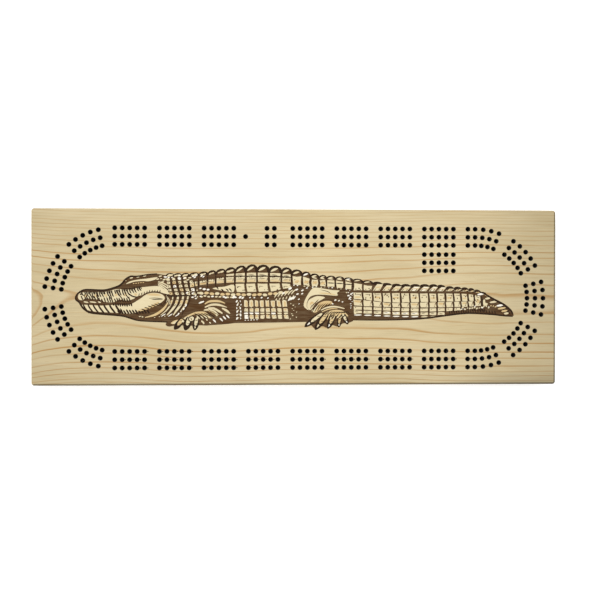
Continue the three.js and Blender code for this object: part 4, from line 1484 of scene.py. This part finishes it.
def add_cover(finish):
    """The swivelling plate: brushed brass with eased edges, a pivot hole and a hooked slot."""
    ease = 0.2
    outline = cover_outline()
    hole = circle(SCREW_HOLE_RADIUS, ROUND_SIDES, PIVOT_X, 0)
    wide_hole = circle(SCREW_HOLE_RADIUS + ease, ROUND_SIDES, PIVOT_X, 0)
    shape = Shape()
    bottom = sheet(shape, moved_in(outline, ease), [wide_hole], [], COVER_BOTTOM, up=False)
    top = sheet(shape, moved_in(outline, ease), [wide_hole], [], COVER_TOP)
    low, high = COVER_BOTTOM + ease, COVER_TOP - ease
    edge = [bottom[0], shape.ring(outline, low), shape.ring(outline, high), top[0]]
    bore = [bottom[1], shape.ring(hole, low), shape.ring(hole, high), top[1]]
    for below, above in pairs(edge):
        shape.skirt(above, below)
    for below, above in pairs(bore):
        shape.skirt(below, above)
    shape.build("cover_plate", [finish], "cover", "peg_store_cover", crease=50)


def add_peg(name, finish, x, y):
    """A turned peg on its side: a tapered end, a ring, a slim waist and a rounded head towards +X."""
    lean = math.asin((PEG_HEAD_RADIUS - PEG_TIP_RADIUS) / PEG_LENGTH)
    height = COVER_TOP + GAP + (PEG_HEAD_RADIUS + PEG_TIP_RADIUS) / 2
    along, up = math.cos(lean), math.sin(lean)

    def place(u, v, w):
        w -= PEG_LENGTH / 2
        return (x + w * along + u * up, y + v, height + w * up - u * along)

    taper = [(0, 0), (0.7, 0.05), (1.05, 0.2), (PEG_TIP_RADIUS, 0.5)]
    ring = [(1.48, 9.6), (1.62, 10), (1.84, 10.6), (1.88, 11), (1.8, 11.5)]
    waist = [(1.66, 13), (1.55, 16), (1.56, 19), (1.75, 22)]
    head = [(2.1, 25), (2.34, 26.8), (2.38, 28), (2.26, 29.4), (1.9, 30.7), (1.2, 31.6), (0.5, 31.95),
            (0, PEG_LENGTH)]
    shape = Shape()
    turned(shape, taper + ring + waist + head, PEG_SIDES, place)
    shape.build(f"{name}_turned", [finish], name, name, crease=60)


def make_underside():
    steel = brushed("steel", (186, 186, 184), (150, 150, 148), 0.34)
    brass = brushed("brass", (208, 174, 106), (172, 136, 76), 0.36)
    black = rubber()
    for depth, y in (("back", FOOT_Y), ("front", -FOOT_Y)):
        for side, x in (("left", -FOOT_X), ("right", FOOT_X)):
            add_foot(f"foot_{depth}_{side}", black, x, y)
            add_screw(f"foot_screw_{depth}_{side}", steel, FOOT_SEAT - GAP, x, y)
    add_cover(brass)
    add_washer(steel)
    add_screw("cover_pivot_screw", brass, COVER_BOTTOM - 2 * GAP - WASHER_THICKNESS, PIVOT_X, 0)
    add_screw("cover_latch_screw", brass, COVER_BOTTOM - GAP, -PIVOT_X, 0)
    paints = {
        "red": painted("red_paint", (176, 38, 30), (140, 26, 22)),
        "blue": painted("blue_paint", (38, 76, 156), (26, 54, 118)),
        "green": painted("green_paint", (48, 116, 60), (34, 86, 44)),
    }
    for column, (colour, paint) in enumerate(paints.items()):
        for row in range(3):
            add_peg(f"peg_{colour}_{row + 1}", paint, (column - 1) * PEG_COLUMN_PITCH,
                    (row - 1) * PEG_ROW_PITCH)


# ------------------------------------------------------------------------------------------
# Floor, light and camera, in metres and degrees

CAMERA_LENS = 76.97
CAMERA_PLACE = (-0.0613, 0.0101, 1.025)
CAMERA_TURN = (-0.483, -3.433, 0.069)


def make_floor():
    """A pale sheet that the board stands on, lit a little from behind as on a light table."""
    half = 6
    mesh = bpy.data.meshes.new("floor")
    mesh.from_pydata([(-half, -half, 0), (half, -half, 0), (half, half, 0), (-half, half, 0)], [],
                     [(0, 1, 2, 3)])
    made, _, shader = material("floor", 0.9)
    shader.inputs["Base Color"].default_value = linear(250, 250, 250)
    shader.inputs["Emission Color"].default_value = linear(255, 255, 255)
    shader.inputs["Emission Strength"].default_value = 0.25
    mesh.materials.append(made)
    floor = bpy.data.objects.new("floor", mesh)
    bpy.context.scene.collection.objects.link(floor)
    floor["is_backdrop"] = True


def add_light(name, size, power, place, target=(0, 0, 0)):
    """A square soft box that faces its target."""
    light = bpy.data.lights.new(name, "AREA")
    light.size = size
    light.energy = power
    lamp = bpy.data.objects.new(name, light)
    lamp.location = place
    lamp.rotation_euler = (Vector(target) - Vector(place)).to_track_quat("-Z", "Y").to_euler()
    bpy.context.scene.collection.objects.link(lamp)


def light_scene():
    """A broad soft box overhead, a nearer one at the upper left, and a pale surround."""
    scene = bpy.context.scene
    scene.view_settings.view_transform = "Standard"
    world = bpy.data.worlds.new("surround")
    world.use_nodes = True
    background = world.node_tree.nodes["Background"]
    background.inputs["Color"].default_value = (1, 1, 1, 1)
    background.inputs["Strength"].default_value = 0.92
    scene.world = world
    add_light("overhead", 1.8, 10.5, (0, 0, 1.9))
    add_light("upper_left", 0.8, 6.5, (-0.4, 0.6, 1.1), (0, 0.03, 0))


def add_camera():
    """The viewpoint: a metre above the face, a little left of its middle, looking nearly straight down."""
    camera = bpy.data.cameras.new("camera")
    camera.sensor_width = 36
    camera.lens = CAMERA_LENS
    camera.clip_start = 0.01
    view = bpy.data.objects.new("camera", camera)
    view.location = CAMERA_PLACE
    view.rotation_euler = [math.radians(turn) for turn in CAMERA_TURN]
    bpy.context.scene.collection.objects.link(view)
    bpy.context.scene.camera = view


make_floor()
light_scene()
add_camera()
make_board()
make_underside()

bpy.context.view_layer.update()
sizes = {"cad": cad_bounds, "visual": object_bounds()}
{name: [[float(v) for v in corner] for corner in box] for name, box in sizes.items()}
